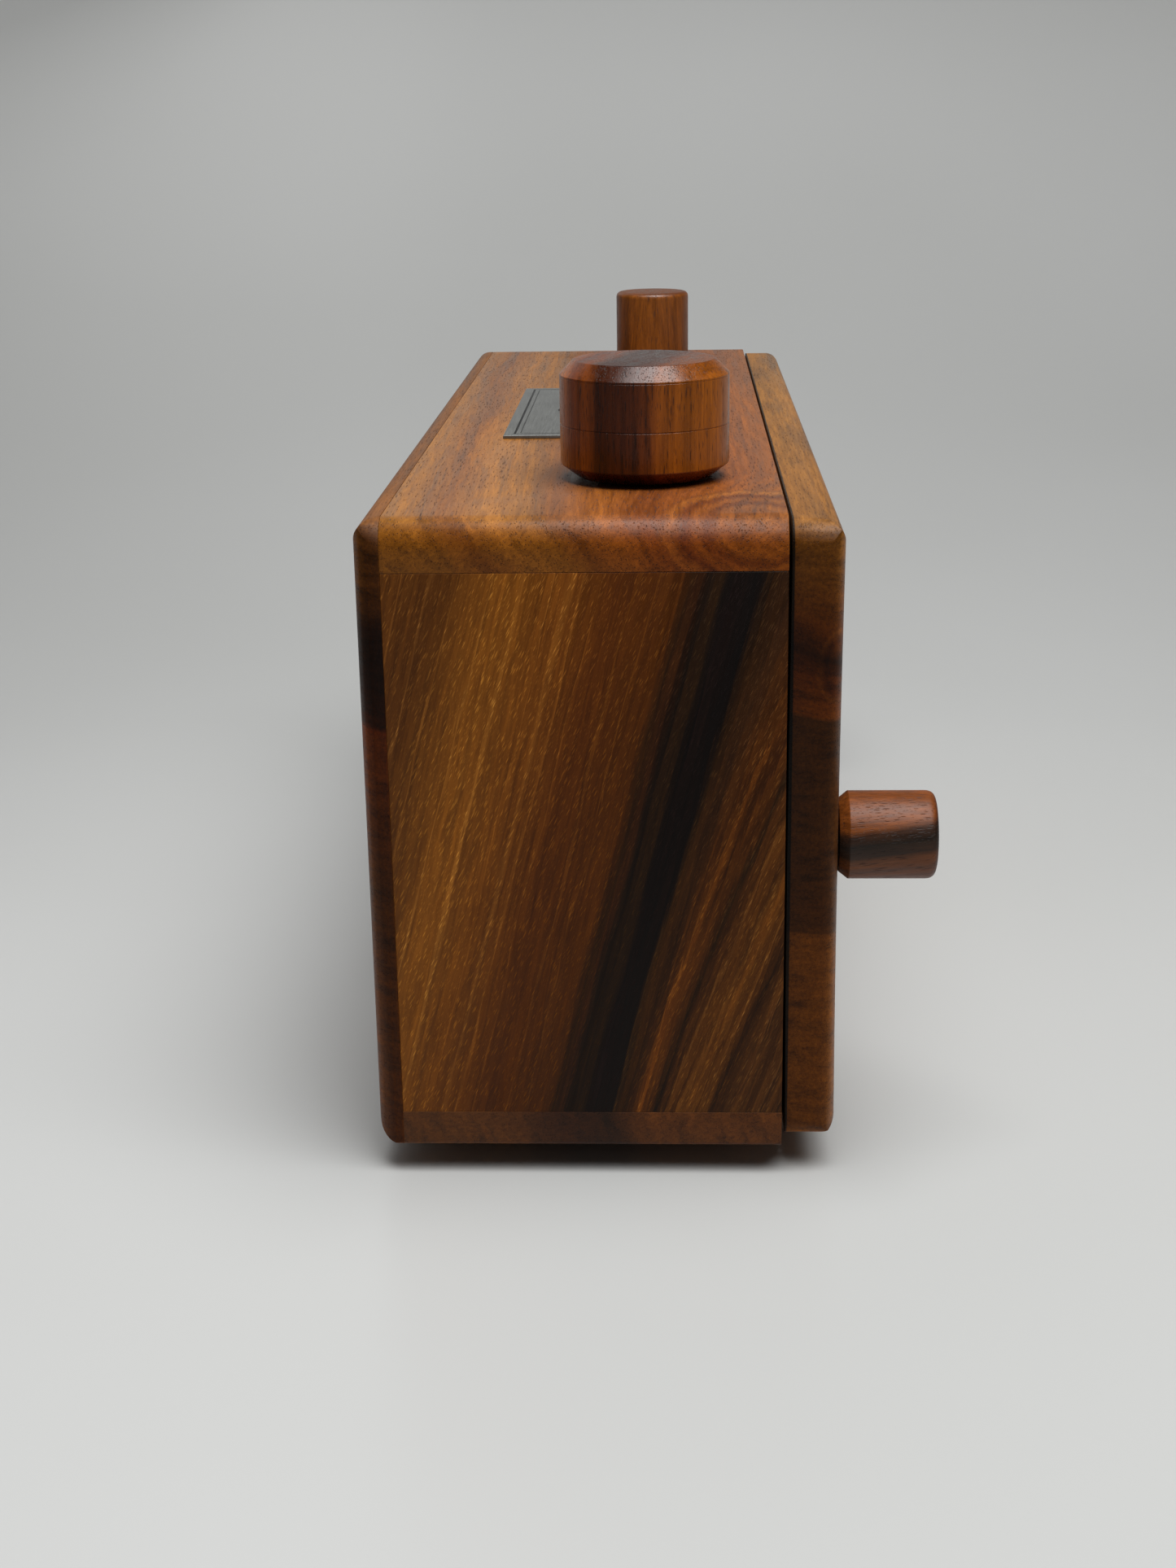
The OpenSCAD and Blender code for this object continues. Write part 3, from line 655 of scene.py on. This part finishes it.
def felt_finish(name, colour):
    """Pressed felt with matted fibres."""
    f = Finish(name)
    strands = f.noise(f.mm, scale=4.0, detail=6.0, rough=0.75, distort=1.6)
    tufts = f.cells(f.mm, 3.0)
    tint = f.mix(f.fit(strands, 0.3, 0.7, 0.0, 0.8), colour, dimmed(colour, 2.6))
    return f.surface(height=f.math("ADD", strands, tufts), relief=0.12, strength=0.8, base_color=tint,
                     roughness=0.95, sheen_weight=0.6, sheen_roughness=0.6)


def black_wood(name):
    """Wood stained and painted matt black, with the grain still showing."""
    f = Finish(name)
    lines = f.noise(f.stretched(f.mm, (0.06, 0.8, 0.8)), detail=5.0)
    pores = f.fit(f.cells(f.stretched(f.mm, (0.25, 2.2, 2.2))), 0.08, 0.25, 1.0, 0.0)
    tint = f.ramp(lines, [(0.3, (0.006, 0.0055, 0.005, 1)), (0.7, (0.02, 0.018, 0.017, 1))])
    worn = f.fit(f.noise(f.mm, scale=0.3, detail=6.0), 0.62, 0.78, 0.0, 0.45)
    tint = f.mix(worn, tint, (0.05, 0.03, 0.02, 1))
    return f.surface(height=f.math("SUBTRACT", lines, pores), relief=0.07, strength=0.5, base_color=tint,
                     roughness=f.fit(lines, 0.3, 0.7, 0.62, 0.78))


def cut_line(f, distance, middle, solid, edge, strength=1.0):
    """A line cut where distance is near middle: solid to one half width, gone at the other."""
    return f.fit(f.math("ABSOLUTE", f.math("SUBTRACT", distance, middle)), solid, edge, strength, 0.0)


def plate_finish(name):
    """Satin grey plate with a cut border line and a plain ring mark, both filled dark."""
    f = Finish(name)
    low, high = box_mm("nameplate")
    middle, half = (low + high) / 2, (high - low) / 2
    x, y, _ = f.xyz(f.vector("SUBTRACT", f.mm, (middle.x, middle.y, 0.0)))
    from_ends = f.math("SUBTRACT", half.x, f.math("ABSOLUTE", x))
    from_sides = f.math("SUBTRACT", half.y, f.math("ABSOLUTE", y))
    inset = f.math("MINIMUM", from_ends, from_sides)
    away = f.vector("LENGTH", f.combine(x, y, 0.0))
    cut = cut_line(f, inset, 1.6, 0.12, 0.22)
    for mark in (cut_line(f, inset, 2.4, 0.05, 0.12, 0.8), cut_line(f, away, 5.2, 0.3, 0.42),
                 cut_line(f, away, 3.9, 0.08, 0.16, 0.8), f.fit(away, 0.55, 0.7, 1.0, 0.0)):
        cut = f.math("MAXIMUM", cut, mark)
    brushed = f.noise(f.stretched(f.mm, (0.15, 5.0, 5.0)), detail=4.0)
    rubbed = f.noise(f.mm, scale=0.16, detail=5.0)
    tint = f.ramp(brushed, [(0.3, (0.15, 0.153, 0.146, 1)), (0.7, (0.21, 0.214, 0.205, 1))])
    tint = f.mix(f.fit(rubbed, 0.45, 0.75, 0.0, 0.35), tint, (0.12, 0.122, 0.118, 1))
    tint = f.mix(cut, tint, (0.02, 0.02, 0.02, 1))
    height = f.math("SUBTRACT", f.math("MULTIPLY", brushed, 0.25), cut)
    return f.surface(height=height, relief=0.06, strength=0.5, base_color=tint, metallic=0.6,
                     roughness=f.fit(brushed, 0.3, 0.7, 0.42, 0.55))


FINISHES = {}


def finish(key):
    """The finish of that name, made the first time it is asked for."""
    if key not in FINISHES:
        FINISHES[key] = FINISH_MAKERS[key]()
    return FINISHES[key]


FINISH_MAKERS = {
    # The winding end: golden brown, then a dark leaning band, then reddish brown.
    "end_wall": lambda: wood(
        "walnut_end_wall", (0, 0.247, 0.969), (0, 1, 0),
        [(-46, tone(75, 40, 7)), (-38, tone(62, 32, 5)), (-30, tone(94, 53, 10)), (-24, tone(80, 42, 6)),
         (-17, tone(58, 26, 2)), (-9.6, tone(50, 22, 1)), (-8.8, tone(27, 11, 1)), (-7.8, tone(36, 15, 2)),
         (-7.0, tone(14, 5, 1)), (-5.0, tone(20, 8, 1)), (-4.2, tone(7, 2, 1)), (-1.2, tone(6, 2, 1)),
         (-0.7, tone(26, 11, 1)), (1.0, tone(30, 13, 2)), (3.2, tone(62, 30, 3)), (5.2, tone(42, 19, 2)),
         (5.9, tone(15, 6, 1)), (6.6, tone(46, 22, 3)), (11, tone(58, 30, 4)), (16, tone(50, 26, 5))],
        # Painted glints: the pale pore tone lightens the pores as if they caught the light.
        warp=0.8, streak=0.62, gap=1.15, pores=0.8, pore_tone=(2.4, 2.9, 4.2, 1), pore_size=0.24,
        pore_length=1.9, pore_lean=0.22, rings=0.85, ring_gap=1.7, fan=(-3.0, 9.0, 0.13, 34.0),
        calm=(-12.0, -5.0, 0.45), crisp=(-10.0, -6.0, 0.66), spec=0.13),
    "top_board": lambda: wood(
        "walnut_top_board", (1, 0.02, 0), (0, 0.75, 0.66),
        [(30, tone(92, 57, 14)), (37, tone(100, 62, 16)), (41, tone(84, 47, 11)), (44, tone(108, 67, 20)),
         (48, tone(94, 57, 13)), (51, tone(80, 43, 8)), (55, tone(97, 52, 10)), (60, tone(82, 39, 6)),
         (66, tone(90, 45, 7)), (76, tone(93, 51, 10))],
        warp=1.1, streak=0.38, gap=1.1, pores=0.7, pore_size=0.3, pore_length=3.2, spec=0.55, rough=0.43,
        end_grain=0.8, end_sheen=0.25, knots=[((86.5, 18.7, 83.0), 12.0, 1.5, 1.0, (1.5, 1.0, 0.64))]),
    "front_panel": lambda: wood(
        "walnut_front_panel", (1, 0, 0.03), (0, 0.2, 1),
        [(-6, tone(88, 46, 11)), (30, tone(70, 37, 9)), (49, tone(84, 38, 9)), (50, tone(84, 34, 6)),
         (50.4, tone(44, 18, 5)), (56, tone(28, 12, 4)), (62, tone(32, 14, 4)), (67, tone(76, 42, 9)),
         (90, tone(82, 50, 15))],
        warp=0.12, streak=0.5, gap=1.2, pores=0.5, spec=0.35, end_grain=0.3, end_sheen=0.3),
    "back_panel": lambda: wood(
        "walnut_back_panel", (1, 0, 0.02), (0, 0.1, 1),
        [(4, tone(95, 54, 12)), (33.1, tone(89, 50, 12)), (33.5, tone(58, 31, 7)), (60.9, tone(52, 28, 7)),
         (61.3, tone(80, 39, 5)), (67, tone(65, 29, 3)), (69.5, tone(32, 13, 3)), (72, tone(69, 33, 4)),
         (77, tone(85, 49, 11)), (88, tone(98, 64, 23))],
        warp=0.12, streak=0.5, gap=1.2, pores=0.5, spec=0.5, rough=0.43, end_grain=0.4, end_sheen=0.2,
        knots=[((88, 31.5, 66.5), 6.0, 0.8, 0.9, (1, 1, 1))], painted=22.9),
    "bottom_board": lambda: wood(
        "walnut_bottom_board", (1, 0, 0), (0, 1, 0.3),
        [(-30, tone(82, 49, 19)), (-12, tone(87, 51, 19)), (-4, tone(54, 28, 10)), (2, tone(42, 22, 8)),
         (8, tone(83, 47, 16)), (30, tone(75, 42, 14))],
        warp=1.2, streak=0.5, gap=1.2, pores=0.5, end_grain=0.5),
    "far_end_wall": lambda: wood(
        "walnut_far_end_wall", (0, -0.2, 0.98), (0, 1, 0),
        [(-40, tone(88, 46, 9)), (-12, tone(72, 35, 7)), (-4, tone(36, 15, 4)), (6, tone(88, 47, 10)),
         (26, tone(76, 38, 8))],
        warp=1.0, streak=0.42, gap=1.5, pores=0.5, rings=0.25),
    "winding_knob": lambda: wood(
        "walnut_winding_knob", (0, 0, 1), (0.3, 1, 0),
        [(8, tone(116, 62, 6)), (13, tone(120, 64, 6)), (15, tone(76, 32, 2)), (17, tone(90, 42, 3)),
         (19, tone(44, 15, 1)), (23.5, tone(46, 16, 1)), (25.5, tone(66, 28, 2)), (27, tone(90, 45, 3)),
         (38, tone(106, 58, 4))],
        warp=0.35, streak=0.5, gap=1.0, pores=0.9, pore_size=0.28, pore_length=2.6, spec=0.36, rough=0.27,
        end_grain=0.6),
    "supply_knob": lambda: wood(
        "walnut_supply_knob", (0.1, 0, 1), (0.2, 1, 0),
        [(-22, tone(83, 42, 5)), (-8, tone(90, 48, 6)), (4, tone(72, 34, 4))],
        warp=0.5, streak=0.35, gap=1.1, pores=0.5, spec=0.5, rough=0.38),
    # The near thumb knob runs darker towards its underside: painted shade, as under light from above; the
    # dark band across its middle is grain.
    "thumb_knob": lambda: wood(
        "walnut_thumb_knob", (0.10, 1, 0.12), (0.2, 0, 1),
        [(44, tone(46, 18, 4)), (48.5, tone(63, 29, 7)), (51.4, tone(72, 37, 11)), (52.4, tone(32, 17, 7)),
         (53.8, tone(18, 11, 6)), (55.0, tone(35, 18, 8)), (55.8, tone(76, 37, 7)), (61, tone(83, 41, 10))],
        warp=0.12, streak=0.4, gap=0.8, pores=0.6, pore_length=2.2, spec=0.28, rough=0.44),
    "far_thumb_knob": lambda: wood(
        "walnut_far_thumb_knob", (0, 1, 0.12), (0.3, 0, 1),
        [(10, tone(60, 28, 7)), (18, tone(96, 52, 16)), (28, tone(72, 36, 10))],
        warp=0.3, streak=0.35, gap=0.8, pores=0.6, pore_length=2.2),
    "shutter_lever": lambda: wood(
        "walnut_shutter_lever", (1, 0, 0), (0, 0, 1),
        [(30, tone(90, 48, 10)), (42, tone(72, 35, 7)), (46, tone(94, 52, 11)), (56, tone(80, 42, 8))],
        warp=0.5, streak=0.4, gap=1.0, pores=0.6),
    "black_wood": lambda: black_wood("blackened_wood_paint"),
    "plate": lambda: plate_finish("nameplate_satin"),
    "brass": lambda: metal("aged_brass", (0.72, 0.47, 0.17, 1), rough=0.28),
    "black_brass": lambda: metal("blackened_brass_finish", (0.05, 0.042, 0.035, 1), rough=0.4, dark=0.2),
    "steel": lambda: metal("plated_steel", (0.56, 0.55, 0.53, 1), rough=0.26),
    "black_aluminium": lambda: metal("black_anodised", (0.022, 0.022, 0.024, 1), rough=0.45, dark=0.2),
    "rubber": lambda: matt("foot_rubber", (0.018, 0.018, 0.018, 1), rough=0.75, grain=5.0, relief=0.05),
    "felt": lambda: felt_finish("pressed_felt", (0.02, 0.02, 0.022, 1)),
    "nylon": lambda: matt("nylon_washer", (0.78, 0.76, 0.7, 1), rough=0.45, grain=3.0, relief=0.02,
                          dust=0.05),
    "spool": lambda: matt("spool_moulding", (0.03, 0.03, 0.032, 1), rough=0.38, grain=4.0, relief=0.02,
                          coat=0.2),
    "red_window": lambda: matt("red_acrylic_sheet", (0.42, 0.01, 0.008, 1), rough=0.12, grain=2.0,
                               relief=0.004, mottle=0.1, dust=0.05, coat=0.6),
}


# ---------------------------------------------------------------- settings


def length(name, text, default, top=0.01):
    """A size in metres for the sidebar."""
    return bpy.props.FloatProperty(name=name, description=text, default=default, min=0.0, max=top,
                                   subtype="DISTANCE", unit="LENGTH", precision=5)


class CaseSettings(bpy.types.PropertyGroup):
    edge: length("Board edge", "How far the corners of each board are rounded over", 0.00012)
    back_edge: length("Back edge", "The same for the inner edges of the back", 0.0004)
    bow: length("Back bow", "How much nearer the back sits at mid height than at its ends", 0.00022)


class KnobSettings(bpy.types.PropertyGroup):
    line_width: length("Turned line width", "Width of the fine lines turned round the big knob", 0.00018)
    line_depth: length("Turned line depth", "Depth of those lines", 0.00005)
    edge: length("Knob edge", "Rounding at the corners of the turned knobs", 0.00025)


class ScrewSettings(bpy.types.PropertyGroup):
    slot_width: length("Slot width", "Width of the driver slot in a screw head", 0.0005)
    slot_depth: length("Slot depth", "Depth of the driver slot in a screw head", 0.00035)


class StageSettings(bpy.types.PropertyGroup):
    key: bpy.props.FloatProperty(name="Overhead light", description="Power of the large overhead light",
                                 default=4.05, min=0.0, max=500.0, unit="POWER")
    fill: bpy.props.FloatProperty(name="Room light", description="Strength of the even light of the room",
                                  default=0.07, min=0.0, max=5.0)
    behind: bpy.props.FloatProperty(name="Back light", description="Power of the small light behind",
                                    default=0.16, min=0.0, max=100.0, unit="POWER")
    sweep: length("Sweep radius", "Radius of the backdrop's curve", 0.5, 2.0)


SETTINGS = {"pinhole_case": CaseSettings, "pinhole_knobs": KnobSettings, "pinhole_screws": ScrewSettings,
            "pinhole_stage": StageSettings}


# ---------------------------------------------------------------- pieces


# Pieces that keep the CAD node's shape: node, finish, and how far its corners are eased in mm, where
# None is the board edge of the sidebar.
CASE_PIECES = (
    ("front_panel", "front_panel", None), ("top_board", "top_board", None),
    ("bottom_board", "bottom_board", None), ("winding_end_wall", "end_wall", None),
    ("supply_end_wall", "far_end_wall", None), ("winding_well_wall", "black_wood", None),
    ("supply_well_wall", "black_wood", None), ("film_gate", "black_wood", 0.2), ("nameplate", "plate", 0.1),
    ("tripod_block", "black_wood", None), ("tripod_bush", "brass", 0.1), ("winding_bush", "brass", 0.08),
    ("supply_bush", "brass", 0.08), ("winding_pivot", "brass", 0.08), ("supply_pivot", "brass", 0.08),
    ("clamp_inserts", "brass", 0.08),
)
FRONT_PIECES = (
    ("pinhole_disc", "steel", 0.03), ("pinhole_retainer", "black_brass", 0.12),
    ("pinhole_screws", "black_brass", 0.06), ("shutter_pivot", "brass", 0.1),
    ("shutter_washer", "steel", 0.05), ("shutter_stops", "brass", 0.15),
)
BACK_PIECES = (
    ("light_trap_board", "black_wood", 0.12), ("pressure_pad", "felt", 0.1),
    ("pressure_plate", "black_aluminium", 0.08), ("red_window", "red_window", 0.08),
    ("window_pivot", "brass", 0.1), ("window_cover", "brass", 0.12),
)
KNOB_PIECES = (
    ("winding_shaft", "steel", 0.08), ("supply_shaft", "steel", 0.08), ("winding_felt", "felt", 0.06),
    ("supply_felt", "felt", 0.06), ("winding_washer", "nylon", 0.05), ("supply_washer", "nylon", 0.05),
    ("take_up_spool", "spool", 0.15),
)
LEVER_EASING = 0.5
LEVER_STEPS = 4
FELT_EASING = 0.12
CLIP_EASING = 0.06


def dress(pieces, board_edge=None):
    """Makes the finished piece for each row of a table."""
    for node, look, edge in pieces:
        plain(node, look, board_edge if edge is None else edge)


class PINHOLE_OT_case(bpy.types.Operator):
    """Make the wooden case, its inner walls and its fittings"""

    bl_idname = "pinhole.case"
    bl_label = "Case"

    def execute(self, context):
        dress(CASE_PIECES, context.scene.pinhole_case.edge / MM)
        return {"FINISHED"}


class PINHOLE_OT_feet(bpy.types.Operator):
    """Make the four feet and the screws of the tripod bush"""

    bl_idname = "pinhole.feet"
    bl_label = "Feet and tripod screws"

    def execute(self, context):
        sizes = context.scene.pinhole_screws
        down = Matrix.Rotation(math.pi, 3, "X")
        dimple_top = FOOT_HEIGHT - DIMPLE_DEPTH
        outline = [(0, 0), (FOOT_RADIUS, 0), (FOOT_TIP, FOOT_HEIGHT), (DIMPLE_RIM, FOOT_HEIGHT),
                   (DIMPLE_FLOOR, dimple_top), (0, dimple_top)]
        foot = turned(rounded(outline, [0, 0.1, 0.7, 0.3, 0.2, 0]), (0, 0, 0), segments=64, name="foot")
        spots = [(x, y, FOOT_HEIGHT) for x in FOOT_COLUMNS for y in FOOT_ROWS]
        place("feet", repeated("feet", foot, spots, down, finish("rubber")), finish("rubber"))
        head = screw_head(*TRIPOD_HEAD, sizes.slot_width / MM, sizes.slot_depth / MM)
        shank = threaded(**TRIPOD_SHANK, centre=(0, 0, 0), axis="Z", name="shank", around=20)
        screw = joined("tripod_screw", head, shank)
        turns = [math.radians(angle) for angle in TRIPOD_ANGLES]
        spots = [(TRIPOD_RING * math.cos(a), TRIPOD_RING * math.sin(a), TRIPOD_SEAT) for a in turns]
        screws = repeated("tripod_screws", screw, spots, down, finish("steel"), TRIPOD_SLOT_TURNS)
        place("tripod_screws", screws, finish("steel"))
        return {"FINISHED"}


class PINHOLE_OT_front(bpy.types.Operator):
    """Make the pinhole, its retainer, the shutter and its stops"""

    bl_idname = "pinhole.front"
    bl_label = "Pinhole and shutter"

    def execute(self, context):
        dress(FRONT_PIECES)
        plain("shutter_lever", "shutter_lever", LEVER_EASING, LEVER_STEPS)
        plain("shutter_felt", "felt", FELT_EASING)
        return {"FINISHED"}


class PINHOLE_OT_back(bpy.types.Operator):
    """Make the removable back and what is fixed to it"""

    bl_idname = "pinhole.back"
    bl_label = "Back"

    def execute(self, context):
        sizes = context.scene.pinhole_case
        bm = cad_copy("back_panel")
        low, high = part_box("back_panel")
        for k in range(1, BOW_BANDS):
            height = low.z + (high.z - low.z) * k / BOW_BANDS
            bmesh.ops.bisect_plane(bm, geom=bm.verts[:] + bm.edges[:] + bm.faces[:],
                                   plane_co=(0, 0, height), plane_no=(0, 0, 1), dist=1e-7)
        middle, half = (low.z + high.z) / 2, (high.z - low.z) / 2
        for vert in bm.verts:
            vert.co.y += sizes.bow * (((vert.co.z - middle) / half) ** 2 - BOW_BALANCE)
        place("back_panel", eased(from_bmesh(bm, "back_panel"), sizes.back_edge), finish("back_panel"))
        dress(BACK_PIECES)
        return {"FINISHED"}


def winding_knob(edge, line_width, line_depth):
    """The large knob: a tapered foot, two turned lines and a chamfered top; sizes in mm."""
    x, y, radius, foot, top = round_box("winding_knob")
    bore = foot + SHAFT_BORE_DEPTH
    shoulder, brim = top - KNOB_CHAMFER, top - KNOB_CHAMFER - 0.1
    low_line, high_line = (foot + height for height in KNOB_LINE_HEIGHTS)
    outline = [(0, bore), (SHAFT_BORE, bore), (SHAFT_BORE, foot), (radius - KNOB_FOOT_IN, foot),
               (radius, foot + KNOB_FOOT_UP), (radius, foot + KNOB_WAIST)]
    profile = rounded(outline, [0, 0, 0, edge, edge, 0])
    profile += groove(radius, low_line, line_width, line_depth)
    profile += groove(radius, high_line, line_width * 0.6, line_depth * 0.5)
    profile += rounded([(radius, brim), (radius, shoulder), (radius - KNOB_CHAMFER, top), (0, top)],
                       [0, 0.05, edge, 0])
    return turned(profile, (x, y, 0), segments=128, name="winding_knob")


def supply_knob(edge):
    """The small knob: a plain peg with a soft crown; edge in mm."""
    x, y, radius, foot, top = round_box("supply_knob")
    bore = foot + SHAFT_BORE_DEPTH
    outline = [(0, bore), (SHAFT_BORE, bore), (SHAFT_BORE, foot), (radius, foot), (radius, top), (0, top)]
    profile = rounded(outline, [0, 0, 0, edge, SUPPLY_KNOB_CROWN, 0], 7)
    return turned(profile, (x, y, 0), name="supply_knob")


class PINHOLE_OT_knobs(bpy.types.Operator):
    """Turn the winding and supply knobs and make their shafts, felts, washers and the spool"""

    bl_idname = "pinhole.knobs"
    bl_label = "Knobs and spool"

    def execute(self, context):
        sizes = context.scene.pinhole_knobs
        edge = sizes.edge / MM
        mesh = winding_knob(edge, sizes.line_width / MM, sizes.line_depth / MM)
        place("winding_knob", mesh, finish("winding_knob"))
        place("supply_knob", supply_knob(edge), finish("supply_knob"))
        dress(KNOB_PIECES)
        return {"FINISHED"}


class PINHOLE_OT_thumbscrews(bpy.types.Operator):
    """Turn the thumbscrew knobs and thread their studs"""

    bl_idname = "pinhole.thumbscrews"
    bl_label = "Thumbscrews"

    def execute(self, context):
        edge = context.scene.pinhole_knobs.edge / MM
        for end, look in (("winding_end", "thumb_knob"), ("supply_end", "far_thumb_knob")):
            knob, stud = end + "_thumb_knob", end + "_stud"
            low, high = box_mm(knob)
            stud_low, stud_high = box_mm(stud)
            centre = ((low.x + high.x) / 2, 0, (low.z + high.z) / 2)
            radius = (high.x - low.x) / 2
            outline = [(0, stud_high.y), (STUD_BORE, stud_high.y), (STUD_BORE, low.y),
                       (radius - THUMB_FOOT_IN, low.y), (radius, low.y + THUMB_FOOT_UP), (radius, high.y),
                       (0, high.y)]
            profile = rounded(outline, [0, 0, 0, edge, edge, THUMB_CROWN, 0], 7)
            place(knob, turned(profile, centre, "Y", name=knob), finish(look))
            thread = threaded(**STUD_THREAD, low=stud_low.y, high=stud_high.y, centre=centre, axis="Y",
                              name=stud)
            place(stud, thread, finish("steel"))
            plain(end + "_clip", "steel", CLIP_EASING)
        return {"FINISHED"}


# ---------------------------------------------------------------- stage


def paper():
    """Pale paper with a faint cloud, and painted light: darker on the floor and lighter up the wall, as the
    light falls on it.
    """
    f = Finish("pale_paper")
    cloud = f.noise(f.mm, scale=0.004, detail=2.0)
    tooth = f.noise(f.mm, scale=1.2, detail=3.0)
    tint = f.ramp(cloud, [(0.35, (0.52, 0.526, 0.516, 1)), (0.65, (0.55, 0.556, 0.548, 1))])
    # Painted light: the paper's colour is made brighter with height, from the floor up the wall.
    painted_height_light = f.fit(f.xyz(f.mm)[2], 5.0, 160.0, 0.91, 1.32)
    tint = f.mix(1.0, tint, f.combine(painted_height_light, painted_height_light, painted_height_light), "MULTIPLY")
    return f.surface(height=tooth, relief=0.02, strength=0.1, base_color=tint, roughness=0.32,
                     specular_ior_level=0.45)


def backdrop(radius):
    """A floor that sweeps up into a wall behind the object."""
    profile = [(FLOOR_REACH, 0.0), (SWEEP_START, 0.0)]
    for k in range(1, SWEEP_STEPS + 1):
        a = math.pi / 2 * k / SWEEP_STEPS
        profile.append((SWEEP_START - radius * math.sin(a), radius * (1 - math.cos(a))))
    profile.append((SWEEP_START - radius, WALL_TOP))
    bm = bmesh.new()
    left = [bm.verts.new((x, -FLOOR_REACH, z)) for x, z in profile]
    right = [bm.verts.new((x, FLOOR_REACH, z)) for x, z in profile]
    for k in range(len(profile) - 1):
        bm.faces.new((left[k], left[k + 1], right[k + 1], right[k]))
    mesh = bpy.data.meshes.new("sweep")
    bm.to_mesh(mesh)
    bm.free()
    mesh.shade_smooth()
    mesh.materials.append(paper())
    return linked("sweep", mesh)


def area_light(name, power, spot, target, size):
    """A soft rectangular light at spot, facing target, in metres."""
    light = bpy.data.lights.new(name, "AREA")
    light.shape = "RECTANGLE"
    light.size, light.size_y = size
    light.energy = power
    obj = linked(name, light)
    obj.location = spot
    obj.rotation_euler = (Vector(target) - Vector(spot)).to_track_quat("-Z", "Y").to_euler()
    return obj


class PINHOLE_OT_stage(bpy.types.Operator):
    """Make the floor, the lights and the camera"""

    bl_idname = "pinhole.stage"
    bl_label = "Stage"

    def execute(self, context):
        scene = context.scene
        sizes = scene.pinhole_stage
        backdrop(sizes.sweep)
        key = area_light("overhead", sizes.key, **OVERHEAD)
        key.data.spread = math.radians(OVERHEAD_SPREAD)
        glow = area_light("behind", sizes.behind, **BEHIND)
        glow.visible_camera = False
        world = bpy.data.worlds.new("room")
        world.use_nodes = True
        room = world.node_tree.nodes["Background"].inputs
        room["Color"].default_value = ROOM_TONE
        room["Strength"].default_value = sizes.fill
        scene.world = world
        camera = bpy.data.cameras.new("camera")
        camera.sensor_fit = "VERTICAL"
        camera.sensor_height = CAMERA_HEIGHT
        camera.lens = CAMERA_LENS
        camera.clip_start = CAMERA_NEAR
        obj = linked("camera", camera)
        obj.location = CAMERA_SPOT
        obj.rotation_euler = [math.radians(v) for v in CAMERA_TURN]
        scene.camera = obj
        scene.view_settings.view_transform = "Standard"
        return {"FINISHED"}


STEPS = (PINHOLE_OT_case, PINHOLE_OT_feet, PINHOLE_OT_front, PINHOLE_OT_back, PINHOLE_OT_knobs,
         PINHOLE_OT_thumbscrews, PINHOLE_OT_stage)


class PINHOLE_PT_panel(bpy.types.Panel):
    """Sidebar with the sizes and one button per piece"""

    bl_label = "Pinhole camera"
    bl_idname = "PINHOLE_PT_panel"
    bl_space_type = "VIEW_3D"
    bl_region_type = "UI"
    bl_category = "Pinhole"

    def draw(self, context):
        for key, group in SETTINGS.items():
            box = self.layout.box()
            for prop in group.__annotations__:
                box.prop(getattr(context.scene, key), prop)
        for step in STEPS:
            self.layout.operator(step.bl_idname)


def register():
    for cls in (*SETTINGS.values(), *STEPS, PINHOLE_PT_panel):
        bpy.utils.register_class(cls)
    for key, group in SETTINGS.items():
        setattr(bpy.types.Scene, key, bpy.props.PointerProperty(type=group))


def unregister():
    for key in SETTINGS:
        delattr(bpy.types.Scene, key)
    for cls in (PINHOLE_PT_panel, *reversed(STEPS), *SETTINGS.values()):
        bpy.utils.unregister_class(cls)


def main():
    register()
    for step in STEPS:
        group, action = step.bl_idname.split(".")
        getattr(getattr(bpy.ops, group), action)()


if __name__ == "__main__":
    main()
